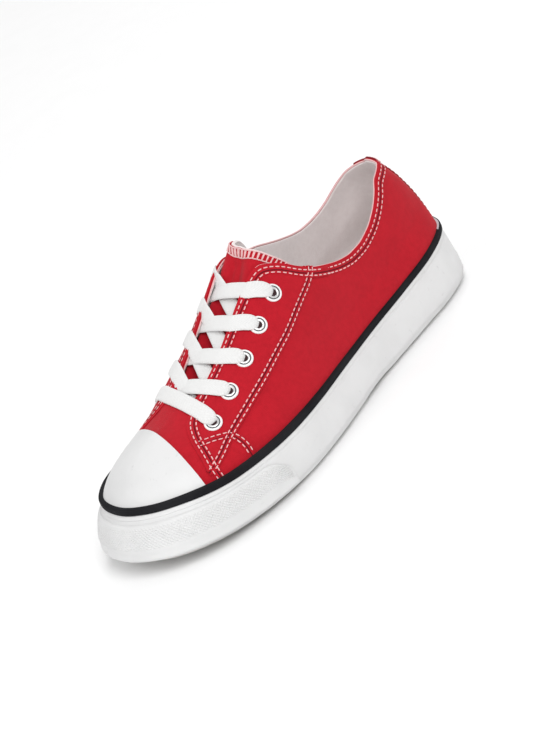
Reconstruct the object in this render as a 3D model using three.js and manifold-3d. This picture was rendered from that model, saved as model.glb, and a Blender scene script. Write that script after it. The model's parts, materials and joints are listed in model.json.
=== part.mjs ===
// A low canvas sneaker, left foot, standing empty on its sole.
// Millimetres, +Z up, toe towards +X, outer (lateral) side towards +Y.
// Inside the build x runs from 0 at the heel to LAST.length at the toe; the group
// is moved at the end so that its origin is the bottom centre of the whole shoe.
import * as THREE from "three";
import { mergeVertices } from "three/addons/utils/BufferGeometryUtils.js";
import Module from "manifold-3d";

const wasm = await Module();
wasm.setup();

// ---------------------------------------------------------------- driving sizes

const GAP = 0.3; // between neighbouring pieces
const LAST = {
  length: 265.8, // foxing line, heel tip to toe tip
  inset: 3.4, // upper's base, inside the foxing line
  spineHeel: 52, // where the crest of the last starts, over the heel
  spineToe: 222, // where it ends, over the toes
  bluntHeel: 1.95, // exponent of the cross sections, heel and waist
  bluntToe: 2.1, // exponent over the toes
};
const WALL = 1.8; // canvas and lining together
const SOLE = { ground: 1.2, tread: 4, treadInset: 2.6, toeSpring: 6.1, springStart: 170 };
const STRIPE = { height: 3.3, proud: 0.4 };
const CAP = { thick: 1.4, rear: 220.2, bow: 0.0004, skew: 0.38, middle: -8 };
const TONGUE = { thick: 2.4, under: 0.45, half: 26, depth: 34, flare: 62, slope: 33.3 };
const TONGUE_TIP = { x: 88, over: 28 }; // apex of the wedge that shapes its top edge
const TONGUE_SIDE = [[127.5, 112], [116, 72], [112, 40], [190, 20], [214, 34], [206, 70]];
const INSOLE = { thick: 4, inset: 0.7 };
// The inner lace panel sits nearer the heel than the outer one, and its eyelets more so by
// a step for each row towards the toe.
const SKEW = { back: 9, over: 12, step: 1.6 };
const EYELET = { rows: 5, first: 137.3, pitch: 17.4, bore: 1.9, barrel: 2.4, flange: 4.3, rise: 0.9 };
const EYELET_LINE = [
  { at: 137.3, z: 75.8 },
  { at: 154.9, z: 68.3 },
  { at: 171.8, z: 60.5 },
  { at: 189, z: 53.2 },
  { at: 207, z: 46.7 },
];
const LACE = { width: 8, thick: 1.4, lift: 1.2, reach: 16, leg: 7, shortLeg: -0.6 };
const BUMPER = { thick: 1.3, start: 196, low: 0.12, high: 0.74 };
const GROOVE = { width: 2, depth: 1.6, pitch: 9, zigzag: 4, teeth: 5, border: 7 };
const GROOVE_BANKS = [
  { start: 18, count: 7 },
  { start: 142, count: 11 },
];
const ORIGIN = { x: 135.2, y: -0.1 }; // bottom centre of the whole shoe, from the heel tip

// Foxing line in plan: distance from the heel, and half widths on each side.
const OUTLINE = [
  { at: 6, lateral: 20.6, medial: 15.7 },
  { at: 14, lateral: 26.7, medial: 24 },
  { at: 32, lateral: 31.7, medial: 30.4 },
  { at: 63, lateral: 33.8, medial: 30.2 },
  { at: 95, lateral: 35.7, medial: 28.6 },
  { at: 127, lateral: 40, medial: 31.9 },
  { at: 158, lateral: 45, medial: 40.1 },
  { at: 189, lateral: 47.2, medial: 46.4 },
  { at: 220, lateral: 43.5, medial: 45.8 },
  { at: 240, lateral: 36, medial: 40.5 },
  { at: 255, lateral: 24, medial: 30.8 },
  { at: 262, lateral: 14, medial: 19.8 },
];
const HEEL_TIP = { x: 0, y: 2.4 };
const TOE_TIP = { x: LAST.length, y: -2 };

// Side profile: where the foot rests, and the middle of the dark stripe.
const PROFILE = [
  { at: 0, floor: 17, stripe: 33.6 },
  { at: 40, floor: 16.4, stripe: 29.8 },
  { at: 90, floor: 14.6, stripe: 27.3 },
  { at: 140, floor: 12.6, stripe: 26.7 },
  { at: 190, floor: 11, stripe: 27.2 },
  { at: 230, floor: 10.8, stripe: 29.4 },
  { at: 268, floor: 11, stripe: 32.6 },
];
const ARCH = { from: 88, to: 136, relief: 1 };

// Crest of the last, seen from the side, and how far it leans sideways.
const CREST = [
  { at: -20, height: 116, lean: 0 },
  { at: 40, height: 114, lean: 0.8 },
  { at: 80, height: 112, lean: 1.1 },
  { at: 110, height: 109.5, lean: 1.4 },
  { at: 130, height: 99, lean: 1.5 },
  { at: 150, height: 83.5, lean: 0.9 },
  { at: 170, height: 69.8, lean: 0.1 },
  { at: 190, height: 59.5, lean: -0.6 },
  { at: 210, height: 52.4, lean: -1.7 },
  { at: 235, height: 51.3, lean: -3.6 },
  { at: 270, height: 51.5, lean: -6 },
];

// Collar line, seen from the side, up to the top corner of the lace panel. The inner
// side dips sooner behind the ankle bone than the outer one.
const COLLAR = {
  lateral: [
    { at: -20, height: 86 },
    { at: 14, height: 83.2 },
    { at: 26, height: 82 },
    { at: 36.6, height: 79.4 },
    { at: 42, height: 75 },
    { at: 49.3, height: 69.9 },
    { at: 59, height: 64.9 },
    { at: 70, height: 62 },
    { at: 81.5, height: 61.8 },
    { at: 91, height: 64.1 },
    { at: 100, height: 67.8 },
    { at: 108.4, height: 71.9 },
    { at: 115.3, height: 76.8 },
    { at: 121, height: 82 },
    { at: 127, height: 85.6 },
    { at: 134, height: 88.4 },
    { at: 160, height: 97 },
  ],
  medial: [
    { at: -20, height: 86 },
    { at: 14, height: 83.2 },
    { at: 18, height: 81.8 },
    { at: 20.5, height: 78.8 },
    { at: 23.5, height: 75.4 },
    { at: 28, height: 72 },
    { at: 35, height: 67.5 },
    { at: 42, height: 65.2 },
    { at: 50, height: 64.6 },
    { at: 60, height: 65.4 },
    { at: 70, height: 68.2 },
    { at: 80, height: 72 },
    { at: 88, height: 75.5 },
    { at: 98, height: 80 },
    { at: 108, height: 83 },
    { at: 112, height: 84.4 },
    { at: 118, height: 87 },
    { at: 125, height: 90 },
    { at: 151, height: 99 },
  ],
};

// Throat between the two lace panels, in plan, each side of the crest.
const THROAT = [
  { at: 112, half: 17 },
  { at: 127, half: 19.5 },
  { at: 134, half: 16.2 },
  { at: 142, half: 14.2 },
  { at: 151, half: 13.2 },
  { at: 165, half: 12.3 },
  { at: 182, half: 11.4 },
  { at: 195, half: 10.2 },
  { at: 200, half: 8 },
  { at: 203, half: 4.5 },
];

// Side wall of the sole: share of its height, and how far it stands out there.
const SIDEWALL = [
  { up: 0, out: -0.6, toe: 0.4 },
  { up: 0.09, out: 1.4, toe: 2.6 },
  { up: 0.3, out: 2, toe: 2.6 },
  { up: 0.62, out: 1.2, toe: 0.6 },
  { up: 1, out: 0, toe: -4 },
];

// ---------------------------------------------------------------- small helpers

// Smooth curve through a table: cubic pieces whose slopes are three-point ones.
function smooth(rows, column, along = "at") {
  const x = rows.map((row) => row[along]);
  const y = rows.map((row) => row[column]);
  const rise = x.slice(1).map((value, i) => (y[i + 1] - y[i]) / (value - x[i]));
  const slope = x.map((value, i) => {
    if (i === 0) return rise[0];
    if (i === x.length - 1) return rise[i - 1];
    const [before, after] = [x[i] - x[i - 1], x[i + 1] - x[i]];
    return (rise[i - 1] * after + rise[i] * before) / (before + after);
  });
  return (at) => {
    let i = x.findIndex((value) => value > at) - 1;
    if (i === -2) i = x.length - 2;
    i = Math.max(i, 0);
    const h = x[i + 1] - x[i];
    const s = THREE.MathUtils.clamp((at - x[i]) / h, 0, 1);
    const beyond = at - THREE.MathUtils.clamp(at, x[i], x[i + 1]);
    const end = s < 0.5 ? slope[i] : slope[i + 1];
    const hermite =
      y[i] * (1 + 2 * s) * (1 - s) ** 2 +
      y[i + 1] * s * s * (3 - 2 * s) +
      h * slope[i] * s * (1 - s) ** 2 -
      h * slope[i + 1] * s * s * (1 - s);
    return hermite + beyond * end;
  };
}

function solidOf(geometry) {
  const bare = geometry.clone();
  for (const name of Object.keys(bare.attributes)) if (name !== "position") bare.deleteAttribute(name);
  const merged = mergeVertices(bare, 1e-4);
  return new wasm.Manifold(
    new wasm.Mesh({
      numProp: 3,
      vertProperties: new Float32Array(merged.attributes.position.array),
      triVerts: new Uint32Array(merged.index.array),
    }),
  );
}

function geometryOf(solid) {
  const mesh = solid.getMesh();
  const geometry = new THREE.BufferGeometry();
  geometry.setAttribute("position", new THREE.BufferAttribute(new Float32Array(mesh.vertProperties), 3));
  geometry.setIndex(new THREE.BufferAttribute(new Uint32Array(mesh.triVerts), 1));
  return geometry;
}

// Solid through rings of equal length; ends are ladders between a ring's two sides.
function loft(rings) {
  const count = rings[0].length;
  const positions = rings.flat().flatMap((point) => [point.x, point.y, point.z]);
  const index = [];
  for (let r = 0; r < rings.length - 1; r++) {
    for (let i = 0; i < count; i++) {
      const [a, b] = [r * count + i, r * count + ((i + 1) % count)];
      index.push(a, a + count, b, b, a + count, b + count);
    }
  }
  const ladder = (start, flip) => {
    const quad = (a, b, c) => index.push(...(flip ? [a, c, b] : [a, b, c]));
    for (let i = 0; i < count / 2; i++) {
      const [left, nextLeft] = [start + i, start + i + 1];
      const [right, nextRight] = [start + ((count - i) % count), start + count - i - 1];
      if (left !== right) quad(left, nextLeft, right);
      if (nextLeft !== nextRight) quad(nextLeft, nextRight, right);
    }
  };
  ladder(0, false);
  ladder((rings.length - 1) * count, true);
  const geometry = new THREE.BufferGeometry();
  geometry.setAttribute("position", new THREE.Float32BufferAttribute(positions, 3));
  geometry.setIndex(index);
  return solidOf(geometry);
}

// Straight prism of a closed outline, from one distance to another. "plan" looks down,
// and "side" looks along Y, with its distances measured towards the inner side.
function prism(outline, from, to, view) {
  const shape = new THREE.Shape(outline.map(([a, b]) => new THREE.Vector2(a, b)));
  const geometry = new THREE.ExtrudeGeometry(shape, { depth: to - from, bevelEnabled: false });
  geometry.translate(0, 0, from);
  if (view === "side") geometry.rotateX(Math.PI / 2);
  return solidOf(geometry);
}

// ---------------------------------------------------------------- the last

const floorAt = smooth(PROFILE, "floor");
const stripeAt = smooth(PROFILE, "stripe");
const crestAt = smooth(CREST, "height");
const leanAt = smooth(CREST, "lean");
const bulgeAt = smooth(SIDEWALL, "out", "up");
const toeBulgeAt = smooth(SIDEWALL, "toe", "up");
const springAt = (x) => {
  const run = (x - SOLE.springStart) / (LAST.length - SOLE.springStart);
  return SOLE.toeSpring * THREE.MathUtils.clamp(run, 0, 1.1) ** 2;
};
const archAt = (x) => {
  const share = THREE.MathUtils.clamp((x - ARCH.from) / (ARCH.to - ARCH.from), 0, 1);
  return ARCH.relief * Math.sin(Math.PI * share) ** 2;
};
const toeShare = (x) => THREE.MathUtils.smoothstep(x, 222, 264);
const bluntAt = (x) => LAST.bluntHeel + (LAST.bluntToe - LAST.bluntHeel) * THREE.MathUtils.smoothstep(x, 120, 200);

const corners = [
  HEEL_TIP,
  ...OUTLINE.map((row) => ({ x: row.at, y: row.lateral })),
  TOE_TIP,
  ...OUTLINE.toReversed().map((row) => ({ x: row.at, y: -row.medial })),
].map(({ x, y }) => new THREE.Vector3(x, y, 0));
const foxingLine = new THREE.CatmullRomCurve3(corners, true, "centripetal");
const COLUMNS = 56;

// Point of the foxing line at share t of the way round, moved out by some distance.
function rim(t, out) {
  const turn = ((t % 1) + 1) % 1;
  const point = foxingLine.getPoint(turn);
  const tangent = foxingLine.getTangent(turn);
  return new THREE.Vector3(point.x - tangent.y * out, point.y + tangent.x * out, 0);
}

// Point of the last: t goes round the foot, rise is an angle from 0 at the floor to
// 90 degrees on the crest, and grow moves the whole surface out.
function lastPoint(t, rise, grow = 0) {
  if (rise > Math.PI / 2) return lastPoint(1 - t, Math.PI - rise, grow);
  const base = rim(t, grow - LAST.inset);
  const along = base.x / LAST.length;
  const spineX = LAST.spineHeel + along * (LAST.spineToe - LAST.spineHeel);
  const power = 2 / bluntAt(base.x);
  const inward = 1 - Math.cos(rise) ** power;
  const x = base.x + (spineX - base.x) * inward;
  const y = base.y + (leanAt(spineX) - base.y) * inward;
  const floor = floorAt(base.x) + springAt(base.x) + GAP;
  return new THREE.Vector3(x, y, floor + (crestAt(x) + grow - floor) * Math.sin(rise) ** power);
}

const RISES = [0, 8, 17, 26, 35, 43, 51, 59, 67, 75, 82, 87.5].map(THREE.MathUtils.degToRad);

// Closed form of the last, grown by a distance, with its floor sunk straight down.
function lastForm(grow, sink = 0) {
  const rings = RISES.map((rise) =>
    Array.from({ length: COLUMNS }, (_, i) => lastPoint(i / COLUMNS, rise, grow)),
  );
  const sunk = rings[0].map((point) => new THREE.Vector3(point.x, point.y, point.z - sink));
  return loft(sink > 0 ? [sunk, ...rings] : rings);
}

// Share of the way round at which the last's base passes x, on one side of the foot.
function shareAt(x, side) {
  let [low, high] = [0, 0.5];
  for (let step = 0; step < 30; step++) {
    const middle = (low + high) / 2;
    if (rim(side > 0 ? middle : 1 - middle, -LAST.inset).x < x) low = middle;
    else high = middle;
  }
  return side > 0 ? low : 1 - low;
}

// The place on the last seen from one side at x and height z: share and rise.
function placeOn(x, z, side) {
  let base = x;
  let sine = 0;
  for (let step = 0; step < 12; step++) {
    const floor = floorAt(base) + springAt(base) + GAP;
    const blunt = bluntAt(base);
    sine = THREE.MathUtils.clamp((z - floor) / (crestAt(x) - floor), 0, 1);
    const cosine = (1 - sine ** blunt) ** (1 / blunt);
    const pull = 1 - cosine;
    const spread = (LAST.spineToe - LAST.spineHeel) / LAST.length;
    base = (x - pull * LAST.spineHeel) / (cosine + pull * spread);
  }
  return { t: shareAt(base, side), rise: Math.asin(sine ** (bluntAt(base) / 2)) };
}

// The place on the last's top seen from above at x and y.
function placeAbove(x, y) {
  const side = y < leanAt(x) ? -1 : 1;
  let [low, high] = [crestAt(x) - 25, crestAt(x)];
  for (let step = 0; step < 24; step++) {
    const z = (low + high) / 2;
    const { t, rise } = placeOn(x, z, side);
    if (side * lastPoint(t, rise).y > side * y) low = z;
    else high = z;
  }
  return placeOn(x, high, side);
}

// Frame on the surface: position, outward normal, and the direction along the foot.
function standOn({ t, rise }, grow = 0) {
  const step = 0.004;
  const point = lastPoint(t, rise, grow);
  const along = lastPoint(t + step, rise, grow).sub(lastPoint(t - step, rise, grow)).normalize();
  const up = lastPoint(t, rise + step, grow).sub(lastPoint(t, rise - step, grow)).normalize();
  const normal = new THREE.Vector3().crossVectors(up, along).normalize();
  return { point, normal, along };
}

// ---------------------------------------------------------------- sole

const groundAt = (x) => springAt(x) + archAt(x);
const rimTop = (x) => stripeAt(x) - STRIPE.height / 2;

function wallRing(share, grow) {
  return Array.from({ length: COLUMNS }, (_, i) => {
    const line = rim(i / COLUMNS, 0);
    const out = bulgeAt(share) + toeShare(line.x) * toeBulgeAt(share) + grow;
    const point = rim(i / COLUMNS, out);
    const low = groundAt(line.x) + SOLE.ground;
    point.z = low + (rimTop(line.x) - low) * share;
    return point;
  });
}

function soleBlock(grow, shares = [0, 0.03, 0.09, 0.25, 0.5, 0.75, 1]) {
  return loft(shares.map((share) => wallRing(share, grow)));
}

function flatRing(out, height, base = groundAt) {
  return Array.from({ length: COLUMNS }, (_, i) => {
    const line = rim(i / COLUMNS, 0);
    const point = rim(i / COLUMNS, out + 2.4 * toeShare(line.x));
    point.z = base(line.x) + height;
    return point;
  });
}

function zigzagGroove(centre, reach) {
  const steps = 2 * GROOVE.teeth;
  const edge = (offset) =>
    Array.from({ length: steps + 1 }, (_, i) => [
      centre + offset + (i % 2 ? GROOVE.zigzag : 0),
      -reach + (2 * reach * i) / steps,
    ]);
  const outline = [...edge(-GROOVE.width / 2), ...edge(GROOVE.width / 2).reverse()];
  return prism(outline, -5, groundAt(centre) + GROOVE.depth, "plan");
}

function buildOutsole() {
  const edge = -SOLE.treadInset;
  const slab = loft([
    flatRing(edge - 0.7, 0),
    flatRing(edge, 0.7),
    flatRing(edge, SOLE.tread),
  ]);
  const tread = loft([flatRing(edge - GROOVE.border, -6), flatRing(edge - GROOVE.border, 12)]);
  let grooves = null;
  for (const { start, count } of GROOVE_BANKS) {
    for (let i = 0; i < count; i++) {
      const groove = zigzagGroove(start + i * GROOVE.pitch, 50);
      grooves = grooves ? grooves.add(groove) : groove;
    }
  }
  return slab.subtract(grooves.intersect(tread));
}

function buildMidsole(outsoleRoom) {
  return soleBlock(-STRIPE.proud).subtract(outsoleRoom).subtract(lastForm(GAP, 2 * GAP));
}

// Outer edge of the stripe, at a height above its middle and some distance outside.
function stripeRing(height, outside = 0) {
  return Array.from({ length: COLUMNS }, (_, i) => {
    const line = rim(i / COLUMNS, 0);
    const point = rim(i / COLUMNS, outside + bulgeAt(1) + toeShare(line.x) * toeBulgeAt(1));
    point.z = stripeAt(line.x) + height;
    return point;
  });
}

function buildStripe() {
  const band = loft([stripeRing(GAP - STRIPE.height / 2), stripeRing(STRIPE.height / 2)]);
  return band.subtract(lastForm(GAP, 5));
}

function buildBumper() {
  const shares = [BUMPER.low, 0.25, 0.5, BUMPER.high];
  const band = soleBlock(BUMPER.thick, shares).subtract(soleBlock(GAP - STRIPE.proud));
  const front = [
    [BUMPER.start, -10],
    [330, -10],
    [330, 60],
    [BUMPER.start + 18, 60],
    [BUMPER.start + 16, 20],
    [BUMPER.start + 8, 14],
    [BUMPER.start + 2, 8],
  ];
  return band.intersect(prism(front, -90, 90, "side"));
}

function buildInsole() {
  const inside = -LAST.inset - WALL - INSOLE.inset;
  const ring = (out, height) =>
    Array.from({ length: COLUMNS }, (_, i) => {
      const point = rim(i / COLUMNS, out);
      point.z = floorAt(point.x) + springAt(point.x) + height;
      return point;
    });
  const slab = loft([ring(inside, GAP), ring(inside, INSOLE.thick - 1), ring(inside - 2, INSOLE.thick)]);
  return slab.intersect(lastForm(-WALL - GAP, 8));
}

// ---------------------------------------------------------------- upper

function collarCut() {
  const [reach, middle] = [80, 3.7]; // the two lines meet a little to one side of the heel
  const half = (rows, from, to) => {
    const line = rows.map((row) => [row.at, row.height]);
    return prism([[line[0][0], 160], ...line, [160, 160]], from, to, "side");
  };
  return half(COLLAR.lateral, -reach, -middle).add(half(COLLAR.medial, -middle, reach));
}

function throatCut() {
  const back = (off) => (SKEW.back * (1 - THREE.MathUtils.clamp(off / SKEW.over, -1, 1))) / 2;
  const corner = (at, off) => [at - back(off), leanAt(at - back(off)) + off];
  const side = (sign) => THROAT.map(({ at, half }) => corner(at, sign * half));
  return prism([...side(1), corner(204.5, 0), ...side(-1).reverse()], 40, 160, "plan");
}

// How far forward a row of eyelets is. Rows are counted from the toe.
function rowAt(row, side) {
  const up = EYELET.rows - row;
  return EYELET.first + up * EYELET.pitch - (side < 0 ? SKEW.back + SKEW.step * up : 0);
}

// Eyelets of the outer side, and their mirror images moved back along the inner side.
function eyeletPlaces() {
  const heightAt = smooth(EYELET_LINE, "z");
  const outer = Array.from({ length: EYELET.rows }, (_, i) => {
    const row = EYELET.rows - i;
    const x = rowAt(row, 1);
    return { side: 1, row, place: placeOn(x, heightAt(x), 1) };
  });
  const inner = outer.map(({ row, place }) => {
    const { point } = standOn(place);
    const x = rowAt(row, -1);
    return { side: -1, row, place: placeAbove(x, leanAt(x) - (point.y - leanAt(point.x))) };
  });
  return [...outer, ...inner];
}

function standUp(geometry, { point, normal }) {
  const turn = new THREE.Quaternion().setFromUnitVectors(new THREE.Vector3(0, 1, 0), normal);
  geometry.applyQuaternion(turn);
  geometry.translate(point.x, point.y, point.z);
  return geometry;
}

function buildUpper(eyelets) {
  let shell = lastForm(0).subtract(lastForm(-WALL, 8)).subtract(collarCut()).subtract(throatCut());
  for (const { place } of eyelets) {
    const hole = EYELET.barrel + GAP + 0.2;
    const drill = new THREE.CylinderGeometry(hole, hole, 8, 8);
    shell = shell.subtract(solidOf(standUp(drill, standOn(place))));
  }
  return shell;
}

function buildEyelet({ place }) {
  const low = 0.45;
  const profile = [
    [EYELET.bore, -WALL + 0.2],
    [EYELET.barrel, -WALL + 0.2],
    [EYELET.barrel, low],
    [EYELET.flange, low],
    [EYELET.flange - 0.4, low + EYELET.rise - 0.2],
    [EYELET.barrel + 0.4, low + EYELET.rise],
    [EYELET.bore, low + 0.4],
    [EYELET.bore, -WALL + 0.2],
  ].map(([radius, height]) => new THREE.Vector2(radius, height));
  return solidOf(standUp(new THREE.LatheGeometry(profile, 8), standOn(place)));
}

// Everything in front of the cap's rear edge, which slants across the toe with a slight bow.
function capRegion() {
  const edge = [];
  for (let y = -60; y <= 60; y += 6) {
    const off = y - CAP.middle;
    edge.push([CAP.rear + CAP.bow * off * off + CAP.skew * off, y]);
  }
  return prism([...edge, [330, 60], [330, -60]], -10, 120, "plan");
}

function buildToeCap() {
  const skirt = loft([stripeRing(-60, 9), stripeRing(-3, 9), stripeRing(STRIPE.height / 2 + GAP, 0.5)]);
  const shell = lastForm(CAP.thick).subtract(lastForm(GAP, 5));
  return shell.intersect(capRegion()).subtract(skirt);
}

function buildTongue() {
  const sheet = lastForm(-WALL - TONGUE.under).subtract(lastForm(-WALL - TONGUE.under - TONGUE.thick, 8));
  const spread = Math.tan(THREE.MathUtils.degToRad(TONGUE.flare));
  const wedge = [
    [0, -TONGUE.depth],
    [40 * spread, 40 - TONGUE.depth],
    [-40 * spread, 40 - TONGUE.depth],
  ];
  const shape = new THREE.Shape(wedge.map(([a, b]) => new THREE.Vector2(a, b)));
  const geometry = new THREE.ExtrudeGeometry(shape, { depth: 200, bevelEnabled: false });
  geometry.rotateX(Math.PI / 2);
  geometry.rotateZ(Math.PI / 2);
  geometry.rotateY(THREE.MathUtils.degToRad(TONGUE.slope));
  geometry.translate(TONGUE_TIP.x, leanAt(150), crestAt(130) + TONGUE_TIP.over);
  const width = [[90, -TONGUE.half], [230, -TONGUE.half], [230, TONGUE.half], [90, TONGUE.half]];
  return sheet
    .intersect(solidOf(geometry))
    .intersect(prism(TONGUE_SIDE, -60, 60, "side"))
    .intersect(prism(width, 0, 160, "plan"));
}

// ---------------------------------------------------------------- laces

// Flat strap through points on the surface, each given as a place and a lift.
function strap(stops) {
  const frames = stops.map(({ place, lift }) => standOn(place, LACE.lift + lift));
  const points = frames.map((frame) => frame.point);
  const rings = frames.map(({ point, normal }, i) => {
    const before = points[Math.max(i - 1, 0)];
    const after = points[Math.min(i + 1, points.length - 1)];
    const across = new THREE.Vector3().subVectors(after, before).cross(normal).normalize();
    const corner = (a, b) =>
      point.clone().addScaledVector(across, (a * LACE.width) / 2).addScaledVector(normal, b * LACE.thick);
    return [corner(-1, 0), corner(1, 0), corner(1, 1), corner(-1, 1)];
  });
  return loft(rings);
}

// Rows are counted from the toe. Row 1 is a straight bar; above it two straps cross,
// each from the panel's edge a row lower on one side to its eyelet on the other.
// The line from reach to reach is cut short, so that it starts at leg from the crest.
function laceStops(fromRow, toRow, toSide, leg, lift) {
  const start = (LACE.reach - leg) / (2 * LACE.reach);
  return [0, 0.25, 0.5, 0.75, 1].map((share) => {
    const along = THREE.MathUtils.lerp(start, 1, share);
    const off = toSide * LACE.reach * (2 * along - 1);
    const at = THREE.MathUtils.lerp(rowAt(fromRow, -toSide), rowAt(toRow, toSide), along);
    return { place: placeAbove(at, leanAt(at) + off), lift: lift * Math.sin(Math.PI * share) };
  });
}

function buildLace(row) {
  if (row === 1) return strap(laceStops(1, 1, 1, LACE.reach, 0));
  const leg = row === 2 ? LACE.shortLeg : LACE.leg;
  const under = strap(laceStops(row - 1, row, -1, leg, 0));
  const over = strap(laceStops(row - 1, row, 1, leg, 0.8));
  return under.add(over);
}

const mesh = (name, solid, material) => {
  const object = new THREE.Mesh(geometryOf(solid), material);
  object.name = name;
  return object;
};

const finish = (colour, roughness, metalness = 0) =>
  new THREE.MeshStandardMaterial({ color: colour, roughness, metalness });
const canvas = finish("#c4202f", 0.9);
const lining = finish("#d9cfcd", 0.95);
const rubber = finish("#e9e8e6", 0.6);
const darkRubber = finish("#2b2b2d", 0.55);
const capRubber = finish("#eeeeee", 0.5);
const metal = finish("#c9cacc", 0.3, 0.9);
const cotton = finish("#f2f1ee", 0.9);

const shoe = new THREE.Group();
const outsoleRoom = loft([flatRing(-SOLE.treadInset + GAP, -8), flatRing(-SOLE.treadInset + GAP, SOLE.tread + GAP)]);
const eyelets = eyeletPlaces();
shoe.add(mesh("outsole", buildOutsole(), rubber));
shoe.add(mesh("midsole", buildMidsole(outsoleRoom), rubber));
shoe.add(mesh("pinstripe", buildStripe(), darkRubber));
shoe.add(mesh("toe_bumper", buildBumper(), rubber));
shoe.add(mesh("insole", buildInsole(), lining));
shoe.add(mesh("upper", buildUpper(eyelets), canvas));
shoe.add(mesh("tongue", buildTongue(), canvas));
shoe.add(mesh("toe_cap", buildToeCap(), capRubber));
for (const eyelet of eyelets) {
  const name = `eyelet_${eyelet.side > 0 ? "lateral" : "medial"}_${eyelet.row}`;
  shoe.add(mesh(name, buildEyelet(eyelet), metal));
}
for (let row = 1; row <= EYELET.rows; row++) {
  shoe.add(mesh(row === 1 ? "lace_bar" : `lace_cross_${row}`, buildLace(row), cotton));
}
shoe.position.set(-ORIGIN.x, -ORIGIN.y, 0);

export default shoe;
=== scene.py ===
"""Low canvas sneaker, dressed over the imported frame: cloth, rubber, laces and stitching.

Lengths are millimetres from the heel tip while a piece is being shaped, and are turned
to metres in the row frame by Workshop.place, once, when its mesh is made.
"""

import json
import logging
import math
from collections.abc import Callable
from dataclasses import dataclass
from enum import Enum

import bpy
import numpy as np
from mathutils import Matrix, Vector

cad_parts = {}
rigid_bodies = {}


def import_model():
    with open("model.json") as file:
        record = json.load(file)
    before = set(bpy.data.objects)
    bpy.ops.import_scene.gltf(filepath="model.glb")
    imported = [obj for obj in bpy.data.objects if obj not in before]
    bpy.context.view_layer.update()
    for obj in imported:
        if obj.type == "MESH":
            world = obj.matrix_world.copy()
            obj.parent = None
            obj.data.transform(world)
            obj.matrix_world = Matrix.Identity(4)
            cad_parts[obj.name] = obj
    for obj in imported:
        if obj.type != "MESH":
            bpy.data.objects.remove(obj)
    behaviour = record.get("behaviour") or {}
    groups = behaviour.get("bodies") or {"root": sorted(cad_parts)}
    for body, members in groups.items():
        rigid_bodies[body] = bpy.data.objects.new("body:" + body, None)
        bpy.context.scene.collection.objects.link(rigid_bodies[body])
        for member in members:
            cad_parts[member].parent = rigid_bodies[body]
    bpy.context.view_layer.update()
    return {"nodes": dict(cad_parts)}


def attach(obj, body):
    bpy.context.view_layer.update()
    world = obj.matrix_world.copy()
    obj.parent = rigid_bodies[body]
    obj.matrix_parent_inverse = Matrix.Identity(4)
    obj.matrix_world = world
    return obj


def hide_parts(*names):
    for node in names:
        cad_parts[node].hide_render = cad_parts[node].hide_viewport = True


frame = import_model()

LOG = logging.getLogger("sneaker")
MM = 0.001
HEEL_TO_CENTRE = np.array((135.2, -0.1, 0.0))
QUARTER = math.pi / 2
BELL_REACH = 12
Array = np.ndarray
Table = tuple[tuple[float, ...], ...]
Ring = Callable[[Array], Array]
Piece = bpy.types.Object
Finish = bpy.types.Material
Socket = bpy.types.NodeSocket
Input = float | tuple | Socket


class Side(Enum):
    """Which side of the foot a piece is on."""

    LATERAL = 1
    MEDIAL = -1


# ---- smooth curves


class Profile:
    """Smooth curve through a short table: cubic pieces with three-point slopes."""

    def __init__(self, at: Array, values: Array) -> None:
        """Keeps the table and works out the slope at each of its rows.

        Args:
            at: Rising positions.
            values: The value at each position.
        """
        self.at, self.values = np.asarray(at, float), np.asarray(values, float)
        run = np.diff(self.at)
        rise = np.diff(self.values) / run
        middle = (rise[:-1] * run[1:] + rise[1:] * run[:-1]) / (run[:-1] + run[1:])
        self.slope = np.concatenate((rise[:1], middle, rise[-1:]))

    def __call__(self, at: Array) -> Array:
        """Value of the curve, carried on straight beyond its ends.

        Args:
            at: Positions, of any shape.

        Returns:
            Values of the same shape.
        """
        at = np.asarray(at, float)
        i = np.clip(np.searchsorted(self.at, at, side="right") - 1, 0, len(self.at) - 2)
        run = self.at[i + 1] - self.at[i]
        s = np.clip((at - self.at[i]) / run, 0, 1)
        beyond = at - np.clip(at, self.at[i], self.at[i + 1])
        end = np.where(s < 0.5, self.slope[i], self.slope[i + 1])
        return (
            self.values[i] * (1 + 2 * s) * (1 - s) ** 2
            + self.values[i + 1] * s * s * (3 - 2 * s)
            + run * self.slope[i] * s * (1 - s) ** 2
            - run * self.slope[i + 1] * s * s * (1 - s)
            + beyond * end
        )


def smoothstep(x: Array, low: float, high: float) -> Array:
    """Share from 0 at low to 1 at high, with soft ends."""
    s = np.clip((np.asarray(x, float) - low) / (high - low), 0, 1)
    return s * s * (3 - 2 * s)


def unit(vectors: Array) -> Array:
    """The same vectors, one long."""
    return vectors / np.maximum(np.linalg.norm(vectors, axis=-1, keepdims=True), 1e-12)


def run_along(points: Array) -> Array:
    """Distance from the first point to each point of a line."""
    steps = np.linalg.norm(np.diff(points, axis=0), axis=1)
    return np.concatenate(([0], np.cumsum(steps)))


def nearest(points: Array, spot: Array) -> int:
    """Index of the point that lies nearest to a spot."""
    return int(np.argmin(np.linalg.norm(points - spot, axis=1)))


def bell(reach: float) -> Array:
    """Weights of a bell curve that add up to one."""
    weights = np.exp(-0.5 * (np.arange(-BELL_REACH, BELL_REACH + 1) / reach) ** 2)
    return weights / weights.sum()


# ---- the last


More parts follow.
